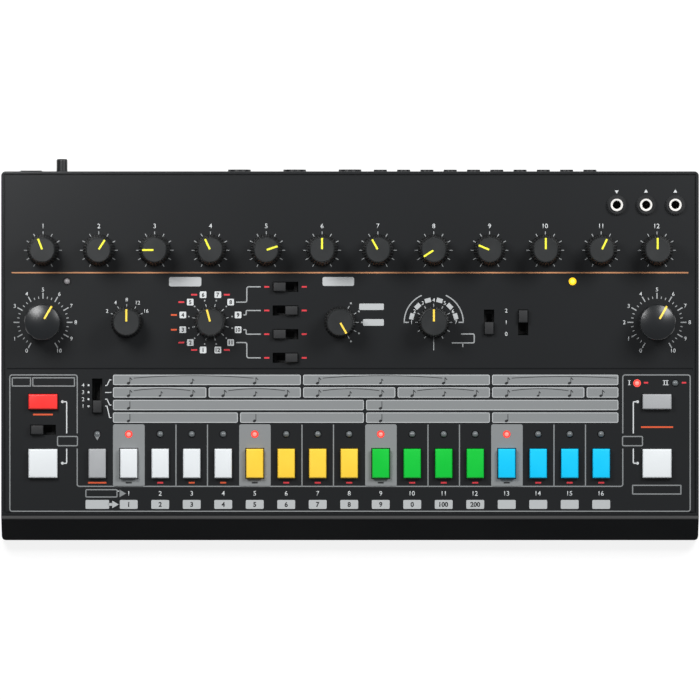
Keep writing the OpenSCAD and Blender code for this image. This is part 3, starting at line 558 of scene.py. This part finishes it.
def figure(layer, text, u, v, height):
    """A number, set in the plain built-in face. Its digits are height millimetres tall."""
    bpy.ops.object.text_add()
    words = bpy.context.object
    words.data.body = str(text)
    words.data.size = height / DIGIT_SHARE * MM
    words.data.offset = (0.03 if layer == "black" else 0.01) * words.data.size
    words.data.resolution_u = 3
    pick(words)
    bpy.ops.object.convert(target="MESH")
    words = bpy.context.object
    bpy.ops.object.origin_set(type="ORIGIN_GEOMETRY", center="BOUNDS")
    words.location = (u * MM, v * MM, 0)
    return mark(layer, words)


def path(layer, points, radius=1.0, width=LINE_W):
    """A line along straight runs with round corners between them."""
    points = [Vector(p) for p in points]
    start = points[0]
    for before, corner, after in zip(points, points[1:], points[2:]):
        into = (corner - before).normalized()
        out = (after - corner).normalized()
        line(layer, start, corner - into * radius, width)
        start = corner + out * radius
        middle = corner - into * radius + out * radius
        left_turn = into.x * out.y - into.y * out.x > 0
        first = math.degrees(math.atan2(-out.y, -out.x))
        last = math.degrees(math.atan2(into.y, into.x))
        if left_turn:
            arc(layer, middle.x, middle.y, radius, width, first, first + 90, 5)
        else:
            arc(layer, middle.x, middle.y, radius, width, last, last + 90, 5)
    line(layer, start, points[-1], width)


def around(u, v, radius, degrees):
    """The point at a radius and an angle clockwise from straight up."""
    turn = math.radians(degrees)
    return u + radius * math.sin(turn), v + radius * math.cos(turn)


def tick(layer, u, v, inner, outer, degrees, width):
    line(layer, around(u, v, inner, degrees), around(u, v, outer, degrees), width)


# The copper line that parts the two upper rows.
COPPER_V = 36.4
plate("copper", -147.9, 147.9, COPPER_V - 0.3, COPPER_V + 0.3, 0.05)

# Twelve level dials: eleven ticks each, and a plain number over it.
for k, u in enumerate(level_u):
    for degrees in range(-150, 151, 30):
        tick("dial", u, level_v, 6.6, 8.25, degrees, TICK_W)
    figure("white", k + 1, u, level_v + 10.6, 2.1)

# Two large dials from 0 to 10, with short ticks between the long ones.
for side in (-1, 1):
    u = side * big_u
    for k in range(11):
        degrees = -150 + 30 * k
        tick("dial", u, SELECTOR_V, 10.35, 12.9, degrees, LINE_W)
        if k < 10:
            for between in (10, 20):
                tick("dial", u, SELECTOR_V, 10.4, 11.4, degrees + between, TICK_W)
        # The tempo dial has no 2, as in the photograph.
        if side > 0 or k != 2:
            figure("white", k, *around(u, SELECTOR_V, 14.3, degrees), 1.8)

# First selector: five numbers of bars.
for degrees, text in zip(range(-60, 61, 30), (2, 4, 8, 12, 16)):
    tick("dial", selector_u[0], SELECTOR_V, 6.4, 8.0, degrees, TICK_W)
    figure("white", text, *around(selector_u[0], SELECTOR_V, 9.9, degrees), 1.7)

# Second selector: twelve numbered boxes, and lines from four of them to the slides.
BOX_HALF = 1.45
for k in range(12):
    degrees = -165 + 30 * k
    u, v = around(selector_u[1], SELECTOR_V, 12.5, degrees)
    tick("dial", selector_u[1], SELECTOR_V, 6.5, 8.2, degrees, TICK_W)
    dot("dial", *around(selector_u[1], SELECTOR_V, 9.8, degrees), 0.33)
    plate("white", u - BOX_HALF, u + BOX_HALF, v - BOX_HALF, v + BOX_HALF, 0.4)
    figure("black", k + 1, u, v, 1.75)
    if k in (0, 1, 2, 3, 4, 5, 6, 11):
        away = 1 if k in (6, 11) else -1
        layer = "orange" if k in (2, 3) else "red"
        strip(layer, u + away * 3.9, v, 2.6, MARK_H)

VOICE_U = -28.2
voice_v = [SELECTOR_V + (1.5 - k) * 10.35 for k in range(4)]
LEAD_END_U = -39.0
for k, degrees in enumerate((45, 75, 105, 135)):
    u, v = around(selector_u[1], SELECTOR_V, 12.5, degrees)
    start = u + BOX_HALF + 0.9
    turn_u, radius = (-45.1, 0.8) if k in (0, 3) else (-45.4, 0.4)
    path("dial", [
        (start, v), (turn_u, v), (turn_u, voice_v[k]), (LEAD_END_U, voice_v[k])], radius)

# Small red marks at both ends of the four slides.
for v in voice_v:
    strip("red", VOICE_U - 8.2, v, 2.2, MARK_H)
    strip("red", VOICE_U + 8.2, v, 2.2, MARK_H)

# Third selector: five dots, two of them with a bare plate.
for degrees in range(30, 151, 30):
    tick("dial", selector_u[2], SELECTOR_V, 6.5, 8.2, degrees, TICK_W)
    dot("dial", *around(selector_u[2], SELECTOR_V, 9.6, degrees), 0.4)
plate("edge", 4.0, 14.8, 20.1, 22.9, 0.5)
plate("edge", 5.7, 14.8, 13.2, 16.1, 0.5)

# The two bare plates over the second and third selectors.
plate("edge", -79.1, -65.0, 30.4, 34.5, 0.8)
plate("edge", -12.0, 1.8, 30.6, 34.5, 0.8)

# Fourth selector: seven numbers with blocks between them under a broken arc.
for degrees in range(-180, 180, 30):
    tick("dial", selector_u[3], SELECTOR_V, 6.5, 12.2 if degrees == -180 else 8.1, degrees, TICK_W)
for k in range(7):
    figure("white", k + 1, *around(selector_u[3], SELECTOR_V, 9.7, -90 + 30 * k), 1.7)
for degrees in range(-75, 76, 30):
    u, v = around(selector_u[3], SELECTOR_V, 9.9, degrees)
    strip("edge", u, v, 2.7, 1.9, -degrees)
ARC_R = 12.9
for start, end in ((90 + 24, 180), (0, 90 - 24)):
    arc("dial", selector_u[3], SELECTOR_V, ARC_R, LINE_W, start, end)
for side in (-1, 1):
    foot_u = selector_u[3] + side * (ARC_R - 0.9)
    strip("dial", foot_u, SELECTOR_V, 1.8 + LINE_W, LINE_W)
path("dial", [(48.6, 9.6), (54.3, 9.6), (54.3, 5.7), (44.5, 5.7)], 0.6)
line("dial", (49.3, 5.7), (49.3, 3.9))

# Three position numbers between the two fade slides.
for k, text in enumerate((2, 1, 0)):
    figure("white", text, 68.3, SELECTOR_V + 5.1 * (1 - k), 1.8)

# Small marks over the panel jacks: into the first, out of the other two.
JACK_MARK_V = 71.9
for mount, turn in (("input_jack", 180), ("output_jack_1", 0), ("output_jack_2", 0)):
    place = next(m["pos_m"] for m in frame["record"]["mounts"] if m["name"] == mount)
    bpy.ops.mesh.primitive_circle_add(
        vertices=3, radius=0.95 * MM, fill_type="NGON",
        location=(place[0], JACK_MARK_V * MM, 0), rotation=(0, 0, math.radians(turn)))
    mark("white", bpy.context.object)

# ---------------------------------------------------------------- the key section's prints

FRAME_TOP, FRAME_LOW, CELL_LOW = -8.3, -67.9, -57.0
OUTER_U, BLOCK_U = 148.7, 119.25
CELL_TOP = -30.0


def key_edge(k):
    """The line between step keys k and k + 1, counted from 1."""
    return key_u[0] + key_pitch * (k - 0.5)


# One line runs round both end blocks and along the foot of the key section. It breaks where a
# small plate sits on it.
PLATE_TOP, PLATE_LOW = -34.95, -39.5
for side in (-1, 1):
    path("grey", [
        (side * BLOCK_U, PLATE_TOP + 1.1), (side * BLOCK_U, FRAME_TOP), (side * OUTER_U, FRAME_TOP),
        (side * OUTER_U, FRAME_LOW), (0, FRAME_LOW)], 1.0)
    path("grey", [
        (side * BLOCK_U, PLATE_LOW - 1.0), (side * BLOCK_U, CELL_LOW), (0, CELL_LOW)], 1.0)
    # The bracket that ties each wide button to the square one under it.
    bracket_u = side * 123.85
    for v, turn_v in ((-20.0, PLATE_TOP + 1.1), (-46.9, PLATE_LOW - 1.0)):
        path("white", [(side * 125.7, v), (bracket_u, v), (bracket_u, turn_v)], 0.4)
        dot("white", side * 125.7, v, 0.62)
    centre = side * 123.5
    frame_line("grey", centre - 4.6, centre + 4.6, PLATE_LOW, PLATE_TOP, 0.7)

frame_line("grey", -147.9, -139.4, -13.4, -9.3, 0.3)
frame_line("grey", -138.9, -120.2, -13.4, -9.3, 0.3)
frame_line("grey", 123.3, 144.9, -60.6, -56.3, 0.3)

# Dividing lines between the dark cells.
for k in range(2, 16):
    if k % 4 not in (0, 1):
        line("grey", (key_edge(k), CELL_TOP), (key_edge(k), CELL_LOW))

# Roman figures by the two bank lamps.
BANK_V = -11.7
for u, bars in ((122.1, (0,)), (138.0, (-0.6, 0.6))):
    for shift in bars:
        strip("white", u + shift, BANK_V, 0.4, 2.0)
        for end in (-0.95, 0.95):
            strip("white", u + shift, BANK_V + end, 1.1 if len(bars) == 1 else 1.25, 0.25)
strip("red", 129.4, BANK_V, 1.9, MARK_H)
strip("red", 146.0, BANK_V, 1.9, MARK_H)

# The four-way slide's dots and numbers, and the lines that lead from it to the four rows.
ROW_TOP, ROW_H, ROW_PITCH = -8.2, 4.5, 5.5
row_v = [ROW_TOP - ROW_H / 2 - k * ROW_PITCH for k in range(4)]
for k in range(4):
    v = -12.8 - 3.05 * k
    dot("white", -114.3, v, 0.45)
    figure("white", 4 - k, -116.7, v, 1.75)
lead_from, lead_to = -107.0, -104.3
for v, target in ((-12.9, row_v[0]), (-15.95, row_v[1]), (-18.9, row_v[2]), (-21.9, row_v[3])):
    path_points = [(lead_from, v), (lead_from + 0.8, v), (lead_to - 0.8, target), (lead_to, target)]
    for first, last in zip(path_points, path_points[1:]):
        line("white", first, last, 0.4)
    for u, height in path_points[1:3]:
        dot("white", u, height, 0.2, 10)

# Four rows of light bars that group the keys by six, by three, by eight and by four.
row_groups = (
    ((1, 6), (7, 12), (13, 16)),
    ((1, 3), (4, 6), (7, 9), (10, 12), (13, 15), (16, 16)),
    ((1, 8), (9, 16)),
    ((1, 4), (5, 8), (9, 12), (13, 16)))
BAR_GAP = 0.5
BAR_EDGE = 0.35
for v, groups in zip(row_v, row_groups):
    for first, last in groups:
        left = key_edge(first - 1) + (BAR_GAP if first > 1 else 0)
        right = key_edge(last) + (-BAR_GAP if last < 16 else 0.6)
        low, high = v - ROW_H / 2, v + ROW_H / 2
        frame_line("edge", left, right, low, high, 0.7, BAR_EDGE)
        plate("grey", left + BAR_EDGE, right - BAR_EDGE, low + BAR_EDGE, high - BAR_EDGE, 0.45)


def note(u, v, tail, small=False):
    """A note on a bar: a turned oval head, a stem, and a tail on the quick ones."""
    size = 0.75 if small else 1.0
    stem_h = (2.5 if tail else 3.0) * size
    head_v = v - 1.45
    head = dot("black", u, head_v, 0.78 * size, 14)
    head.scale = (1.0, 0.72, 1.0)
    head.rotation_euler = (0, 0, math.radians(25))
    stem_u = u + 0.62 * size
    line("black", (stem_u, head_v + 0.1), (stem_u, head_v + stem_h), 0.28)
    if tail:
        tip = (stem_u + 0.95 * size, head_v + stem_h - 1.05 * size)
        line("black", (stem_u, head_v + stem_h), tip, 0.34)


def slur(first_u, last_u, v, rise):
    """A flat arc over a group of notes."""
    chord = last_u - first_u
    radius = (chord * chord / 4 + rise * rise) / (2 * rise)
    half = math.degrees(math.asin(chord / 2 / radius))
    arc("black", (first_u + last_u) / 2, v + rise - radius, radius, 0.28, 90 - half, 90 + half, 28)


NOTE_SHIFT = -0.1
for k in range(1, 16, 2):
    note(key_u[k - 1] + NOTE_SHIFT, row_v[0], True, small=k in (3, 9))
for k in range(1, 17):
    note(key_u[k - 1] + NOTE_SHIFT, row_v[1], True, small=k % 3 == 2 and k < 16)
for k in (1, 9):
    note(key_u[k - 1] + NOTE_SHIFT, row_v[2], False)
for k in (1, 5, 9, 13):
    note(key_u[k - 1] + NOTE_SHIFT, row_v[3], False)
SLUR_IN = 2.2
for first, last in ((1, 5), (7, 11)):
    slur(key_u[first - 1] + SLUR_IN, key_u[last - 1] - SLUR_IN / 4, row_v[0] + 0.75, 1.1)
slur(key_u[12] + SLUR_IN, key_edge(16), row_v[0] + 0.75, 0.7)
for first in (1, 4, 7, 10, 13):
    slur(key_u[first - 1] + SLUR_IN, key_u[first + 1] - SLUR_IN / 4, row_v[1] + 0.75, 0.9)

# Numbers under the keys, and the row of light plates, the last four of them bare.
STEP_V, PLATE_V = -60.1, -64.9
PLATE_FIGURES = (*range(1, 10), 0, 100, 200)
for k, u in enumerate(key_u):
    figure("white", k + 1, u, STEP_V, 2.1)
    plate("edge", u - 3.9, u + 3.9, PLATE_V - 1.95, PLATE_V + 1.95, 0.5)
    if k < len(PLATE_FIGURES):
        figure("black", PLATE_FIGURES[k], u, PLATE_V, 2.1)

# Small colour marks under the dark cells' keys.
MARK_V = -55.4
for k, u in enumerate(key_u):
    layer = "black" if k % 4 == 0 else "orange" if k in (2, 3) else "red"
    strip(layer, u, MARK_V, 2.6, MARK_H)
strip("orange", function_u, MARK_V, 8.0, MARK_H)
strip("orange", -big_u, -25.6, 8.6, MARK_H)
strip("orange", big_u, -31.1, 14.0, MARK_H)

# An outlined and a light plate with an arrow each, left of the two rows of numbers.
line("white", (-102.0, STEP_V + 1.0), (-101.0, STEP_V + 1.0), 0.4)
frame_line("grey", -115.7, -101.6, -61.9, -58.2, 0.6)
for v, left, layer in ((STEP_V, -101.0, "grey"), (PLATE_V, -104.2, "edge")):
    bpy.ops.mesh.primitive_circle_add(
        vertices=3, radius=1.9 * MM, fill_type="NGON",
        location=((left + 1.2) * MM, v * MM, 0), rotation=(0, 0, math.radians(-90)))
    mark(layer, bpy.context.object)
plate("edge", -115.6, -105.3, PLATE_V - 1.95, PLATE_V + 1.95, 0.4)
strip("edge", -104.8, PLATE_V, 1.6, 1.2)

# The pointed tail under the function key's lamp.
bpy.ops.mesh.primitive_circle_add(
    vertices=3, radius=1.5 * MM, fill_type="NGON",
    location=(function_u * MM, (KEY_LAMP_V - 1.2) * MM, 0), rotation=(0, 0, math.pi))
mark("grey", bpy.context.object)

LIT_STEPS = (1, 5, 9, 13)


# ---------------------------------------------------------------- laying the prints


def lay_on_panel(piece, height=0.0):
    """Puts a piece that was made flat onto the sloping panel."""
    piece.location = panel_middle + panel_normal * height * MM
    piece.rotation_euler = (panel_slope, 0, 0)
    settle(piece)


# Ink that lies over another layer is raised by that layer's thickness.
PRINT_RISE = {"black": INK_T}


def print_layer(name, layer, material):
    """Joins the marks of one ink, thickens them and lays them on the panel."""
    piece = join(name, marks.pop(layer))
    modify(piece, "SOLIDIFY", thickness=INK_T * MM, offset=1.0)
    lay_on_panel(piece, PRINT_RISE.get(layer, 0.0))
    finish_piece(piece, material, "case")


def light_cell(k):
    """A light plate with a hole for its key and one for its lamp."""
    u = key_u[k - 1]
    left, right = key_edge(k - 1) + (0 if k == 1 else 0.1), key_edge(k) + 0.1
    cell = plate("cell", left, right, CELL_LOW - 0.15, CELL_TOP + 0.15, 0.9)
    modify(cell, "SOLIDIFY", thickness=INK_T * MM, offset=1.0)
    bpy.ops.mesh.primitive_cube_add(
        size=MM, location=(u * MM, KEY_V * MM, 0), scale=(8.3, 13.6, 2))
    key_cut = bpy.context.object
    bpy.ops.mesh.primitive_cylinder_add(
        vertices=32, radius=1.75 * MM, depth=2 * MM, location=(u * MM, KEY_LAMP_V * MM, 0))
    cutter = join("cell_cutter", [key_cut, bpy.context.object])
    modify(cell, "BOOLEAN", operation="DIFFERENCE", object=cutter, solver="EXACT")
    bpy.data.objects.remove(cutter)
    return cell


light_cells = join("light_cells", [light_cell(k) for k in LIT_STEPS])
lay_on_panel(light_cells)
finish_piece(light_cells, grey_ink, "case")
for name, layer, material in (
        ("white_print", "white", white_ink), ("dial_print", "dial", dial_ink),
        ("grey_print", "grey", grey_ink), ("light_grey_print", "edge", edge_ink),
        ("black_print", "black", black_ink), ("red_print", "red", red_ink),
        ("orange_print", "orange", orange_ink), ("copper_line", "copper", copper_ink)):
    print_layer(name, layer, material)

# ---------------------------------------------------------------- knob pointers



def rest_turn(name):
    """How far clockwise a pot stands at rest: it turns 150 degrees either way of straight up."""
    low, high = joints[name]["range_deg"]
    return (low + high) / 2


POINTER_W = 0.86
LEVEL_TOP_R, LEVEL_H = 5.3, 16.0
SELECTOR_TOP_R, SELECTOR_H = 5.7, 14.0
SELECTOR_TURNS = dict(zip(SELECTORS, (0, -15, 150, 0)))


def straight_pointer(name, top_r, height, degrees, material):
    """An inlay that fills the slot in a small knob's flat top."""
    length = top_r - 0.34
    bpy.ops.mesh.primitive_cube_add(
        size=MM, location=(0, (length / 2 + 0.32) * MM, (height - 0.12) * MM),
        scale=(POINTER_W, length, 0.3))
    inlay = bpy.context.object
    inlay.name = f"{name}_pointer"
    settle(inlay)
    edit(inlay)
    bpy.ops.mesh.bevel(offset=0.08 * MM, segments=2, affect="EDGES")
    leave_edit()
    place_on_knob(inlay, name, degrees)
    return finish_piece(inlay, material, name)


def place_on_knob(piece, name, degrees):
    piece.rotation_euler = (0, 0, -math.radians(degrees))
    settle(piece)
    piece.location = Vector(joints[name]["pos_m"])
    piece.rotation_euler = (panel_slope, 0, 0)
    settle(piece)


for name in LEVEL_KNOBS:
    straight_pointer(name, LEVEL_TOP_R, LEVEL_H, rest_turn(name), yellow_ink)
for name in SELECTORS:
    straight_pointer(name, SELECTOR_TOP_R, SELECTOR_H, SELECTOR_TURNS[name], amber_ink)

BIG_R, BIG_H, DOME_R = 8.0, 17.0, 20.0
DOME_SHOULDER = BIG_H - DOME_R + math.sqrt(DOME_R ** 2 - BIG_R ** 2)


def dome_pointer(name, degrees):
    """An inlay that follows a large knob's dome outwards and runs on down its side."""
    bpy.ops.mesh.primitive_cube_add(size=MM, scale=(POINTER_W, 1, 0.3))
    inlay = bpy.context.object
    inlay.name = f"{name}_pointer"
    settle(inlay)
    edit(inlay)
    bpy.ops.mesh.subdivide(number_cuts=23)
    leave_edit()
    start, run = 1.7, 9.3
    for vertex in inlay.data.vertices:
        along = start + (vertex.co.y / MM + 0.5) * run
        height = vertex.co.z / MM
        reach = min(along, BIG_R - 1.0)
        angle = math.asin(min(1.0, reach / DOME_R))
        centre = Vector((0, 0, BIG_H - DOME_R))
        out = Vector((0, math.sin(angle), math.cos(angle)))
        at = centre + out * (DOME_R - 0.1 + height)
        past = along - reach
        if past > 0:
            bend = min(past / 1.5, 1.0) * (math.pi / 2 - angle)
            turned = Vector((0, math.sin(angle + bend), math.cos(angle + bend)))
            pivot = Vector((0, BIG_R - 1.6, DOME_SHOULDER - 1.1))
            at = pivot + turned * (1.58 + height)
            extra = past - 1.5
            if extra > 0:
                at.z -= extra
        vertex.co = Vector((vertex.co.x, at.y * MM, at.z * MM))
    place_on_knob(inlay, name, degrees)
    smooth(inlay)
    return finish_piece(inlay, amber_ink, name)


for name in LARGE_KNOBS:
    dome_pointer(name, 30)

# ---------------------------------------------------------------- lamps


def copy_of(node, name):
    """A copy of a CAD node, merged, that a finer piece starts from."""
    pick(nodes[node])
    bpy.ops.object.duplicate()
    copy = bpy.context.object
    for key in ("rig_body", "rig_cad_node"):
        if key in copy:
            del copy[key]
    copy.parent = None
    copy.name = name
    copy.data.name = name
    edit(copy)
    bpy.ops.mesh.remove_doubles(threshold=0.001 * MM)
    leave_edit()
    return copy


lamp_copy = copy_of("indicator_lamps", "lamp")
edit(lamp_copy)
bpy.ops.mesh.separate(type="LOOSE")
leave_edit()
lamp_groups = {"red": [], "amber": [], "tempo": [], "unlit": []}
lit_keys = [key_u[k - 1] for k in LIT_STEPS]
BANK_LAMP_U = 125.5
for part in list(bpy.context.selected_objects):
    corners = [panel_uv(corner) for corner in part.bound_box]
    u = sum(c.x for c in corners) / 8
    v = sum(c.y for c in corners) / 8
    if v > 0:
        group = "tempo" if u < 0 else "amber"
    elif v > -20:
        group = "red" if abs(u - BANK_LAMP_U) < 2 else "unlit"
    else:
        group = "red" if min(abs(u - lit) for lit in lit_keys) < 2 else "unlit"
    lamp_groups[group].append(part)
lamp_looks = {
    "red": ("lit_red_lamps", red_glow), "amber": ("lit_amber_lamp", amber_glow),
    "tempo": ("tempo_lamp", tempo_lamp_grey), "unlit": ("unlit_lamps", lamp_grey)}
for group, (name, material) in lamp_looks.items():
    piece = join(name, lamp_groups[group])
    smooth(piece, 40)
    finish_piece(piece, material, "case", ["indicator_lamps"])

# ---------------------------------------------------------------- keys, buttons and slides


def softened(node, material, slot, width):
    """A copy of a CAD node with its hard edges rounded, as a moulding has them."""
    piece = copy_of(node, f"{node}_moulding")
    edit(piece)
    bpy.ops.mesh.dissolve_limited(angle_limit=math.radians(1))
    leave_edit()
    modify(
        piece, "BEVEL", width=width * MM, segments=3, limit_method="ANGLE",
        angle_limit=math.radians(30), use_clamp_overlap=True, harden_normals=False)
    smooth(piece, 40)
    return finish_piece(piece, material, node, [node])


step_looks = [
    (white_keys, "key_white"), (yellow_keys, "key_yellow"), (green_keys, "key_green"),
    (cyan_keys, "key_cyan")]
for k, name in enumerate(STEP_KEYS):
    softened(name, *step_looks[k // 4], 0.16)
softened("function_key", grey_keys, "button_grey", 0.16)
for name, material, slot in (
        ("clear_button", red_keys, "button_red"), ("start_button", white_keys, "key_white"),
        ("pattern_button", grey_keys, "button_grey"), ("tap_button", white_keys, "key_white")):
    softened(name, material, slot, 0.18)
for name in SLIDES:
    softened(name, slide_finish, "slide_grey", 0.12)

# ---------------------------------------------------------------- CAD nodes that stay


def dress(material, *names):
    """Gives CAD nodes that stay as they are their finish."""
    for name in names:
        for item in nodes[name].material_slots:
            item.material = material


dress(panel_finish, "top_shell")
dress(base_finish, "bottom_shell")
dress(rubber_finish, "rubber_feet")
dress(zinc, "screws")
dress(board_finish, "main_board")
dress(can_steel, "rotary_controls")
dress(switch_finish, "push_switches", "slide_switches")
dress(nickel, "panel_jacks")
dress(nut_finish, "jack_nuts")
dress(socket_finish, "rear_sockets", "power_button")
dress(knob_finish, *LEVEL_KNOBS, *SELECTORS)
dress(large_knob_finish, *LARGE_KNOBS)

# ---------------------------------------------------------------- floor, light and camera


def floor_finish():
    """Plain pale floor: white to the camera, with the object's shadow kept faint on it."""
    material = bpy.data.materials.new("pale_floor")
    material.use_nodes = True
    tree = material.node_tree
    tree.nodes.clear()
    rays = add_node(material, "ShaderNodeLightPath")
    seen = add_node(
        material, "ShaderNodeMath", links=[
            (rays.outputs["Is Camera Ray"], 0), (rays.outputs["Is Glossy Ray"], 1)],
        operation="MAXIMUM")
    plain = add_node(material, "ShaderNodeBsdfDiffuse", {"Color": colour("#e4e4e2")})
    faint = add_node(material, "ShaderNodeBsdfDiffuse", {"Color": colour("#808080")})
    glow = add_node(
        material, "ShaderNodeEmission", {"Color": (1, 1, 1, 1), "Strength": 0.85})
    white = add_node(
        material, "ShaderNodeAddShader",
        links=[(faint.outputs["BSDF"], 0), (glow.outputs["Emission"], 1)])
    mix = add_node(
        material, "ShaderNodeMixShader", links=[
            (seen.outputs["Value"], 0), (plain.outputs["BSDF"], 1), (white.outputs["Shader"], 2)])
    add_node(
        material, "ShaderNodeOutputMaterial", links=[(mix.outputs["Shader"], "Surface")])
    return material


deselect()
bpy.ops.mesh.primitive_plane_add(size=12, location=(0, 0, 0))
floor = bpy.context.object
floor.name = "floor"
floor.data.materials.append(floor_finish())
floor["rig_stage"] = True

world = bpy.data.worlds.new("studio")
bpy.context.scene.world = world
world.use_nodes = True
world.node_tree.nodes["Background"].inputs["Color"].default_value = (0.95, 0.97, 1.0, 1)
world.node_tree.nodes["Background"].inputs["Strength"].default_value = 0.2


def soft_light(name, across, up, away, size, power):
    """A square soft box that faces the panel, placed in metres from the panel's middle."""
    place = panel_middle + Vector((across, 0, 0)) + up_slope * up + panel_normal * away
    bpy.ops.object.light_add(type="AREA", location=place)
    lamp = bpy.context.object
    lamp.name = name
    lamp.data.size = size
    lamp.data.energy = power
    lamp.rotation_euler = (panel_middle - place).to_track_quat("-Z", "Y").to_euler()


soft_light("rear_left_box", -0.26, 0.26, 0.42, 0.20, 2.2)
soft_light("rear_right_box", 0.36, 0.31, 0.46, 0.25, 3.2)

# The camera looks square onto the panel from far away, as the photograph does.
CAMERA_AWAY = 7.0
FRAME_WIDTH = 306.0
camera_data = bpy.data.cameras.new("camera")
camera = bpy.data.objects.new("camera", camera_data)
bpy.context.scene.collection.objects.link(camera)
aim = panel_middle + up_slope * 2.6 * MM
camera.location = aim + panel_normal * CAMERA_AWAY
camera.rotation_euler = (-panel_normal).to_track_quat("-Z", "Y").to_euler()
camera_data.sensor_width = 36
camera_data.lens = 36 * CAMERA_AWAY / (FRAME_WIDTH * MM)
camera_data.clip_start = 0.1
camera_data.clip_end = 100
bpy.context.scene.camera = camera

bpy.context.scene.view_settings.view_transform = "Standard"

low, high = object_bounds()
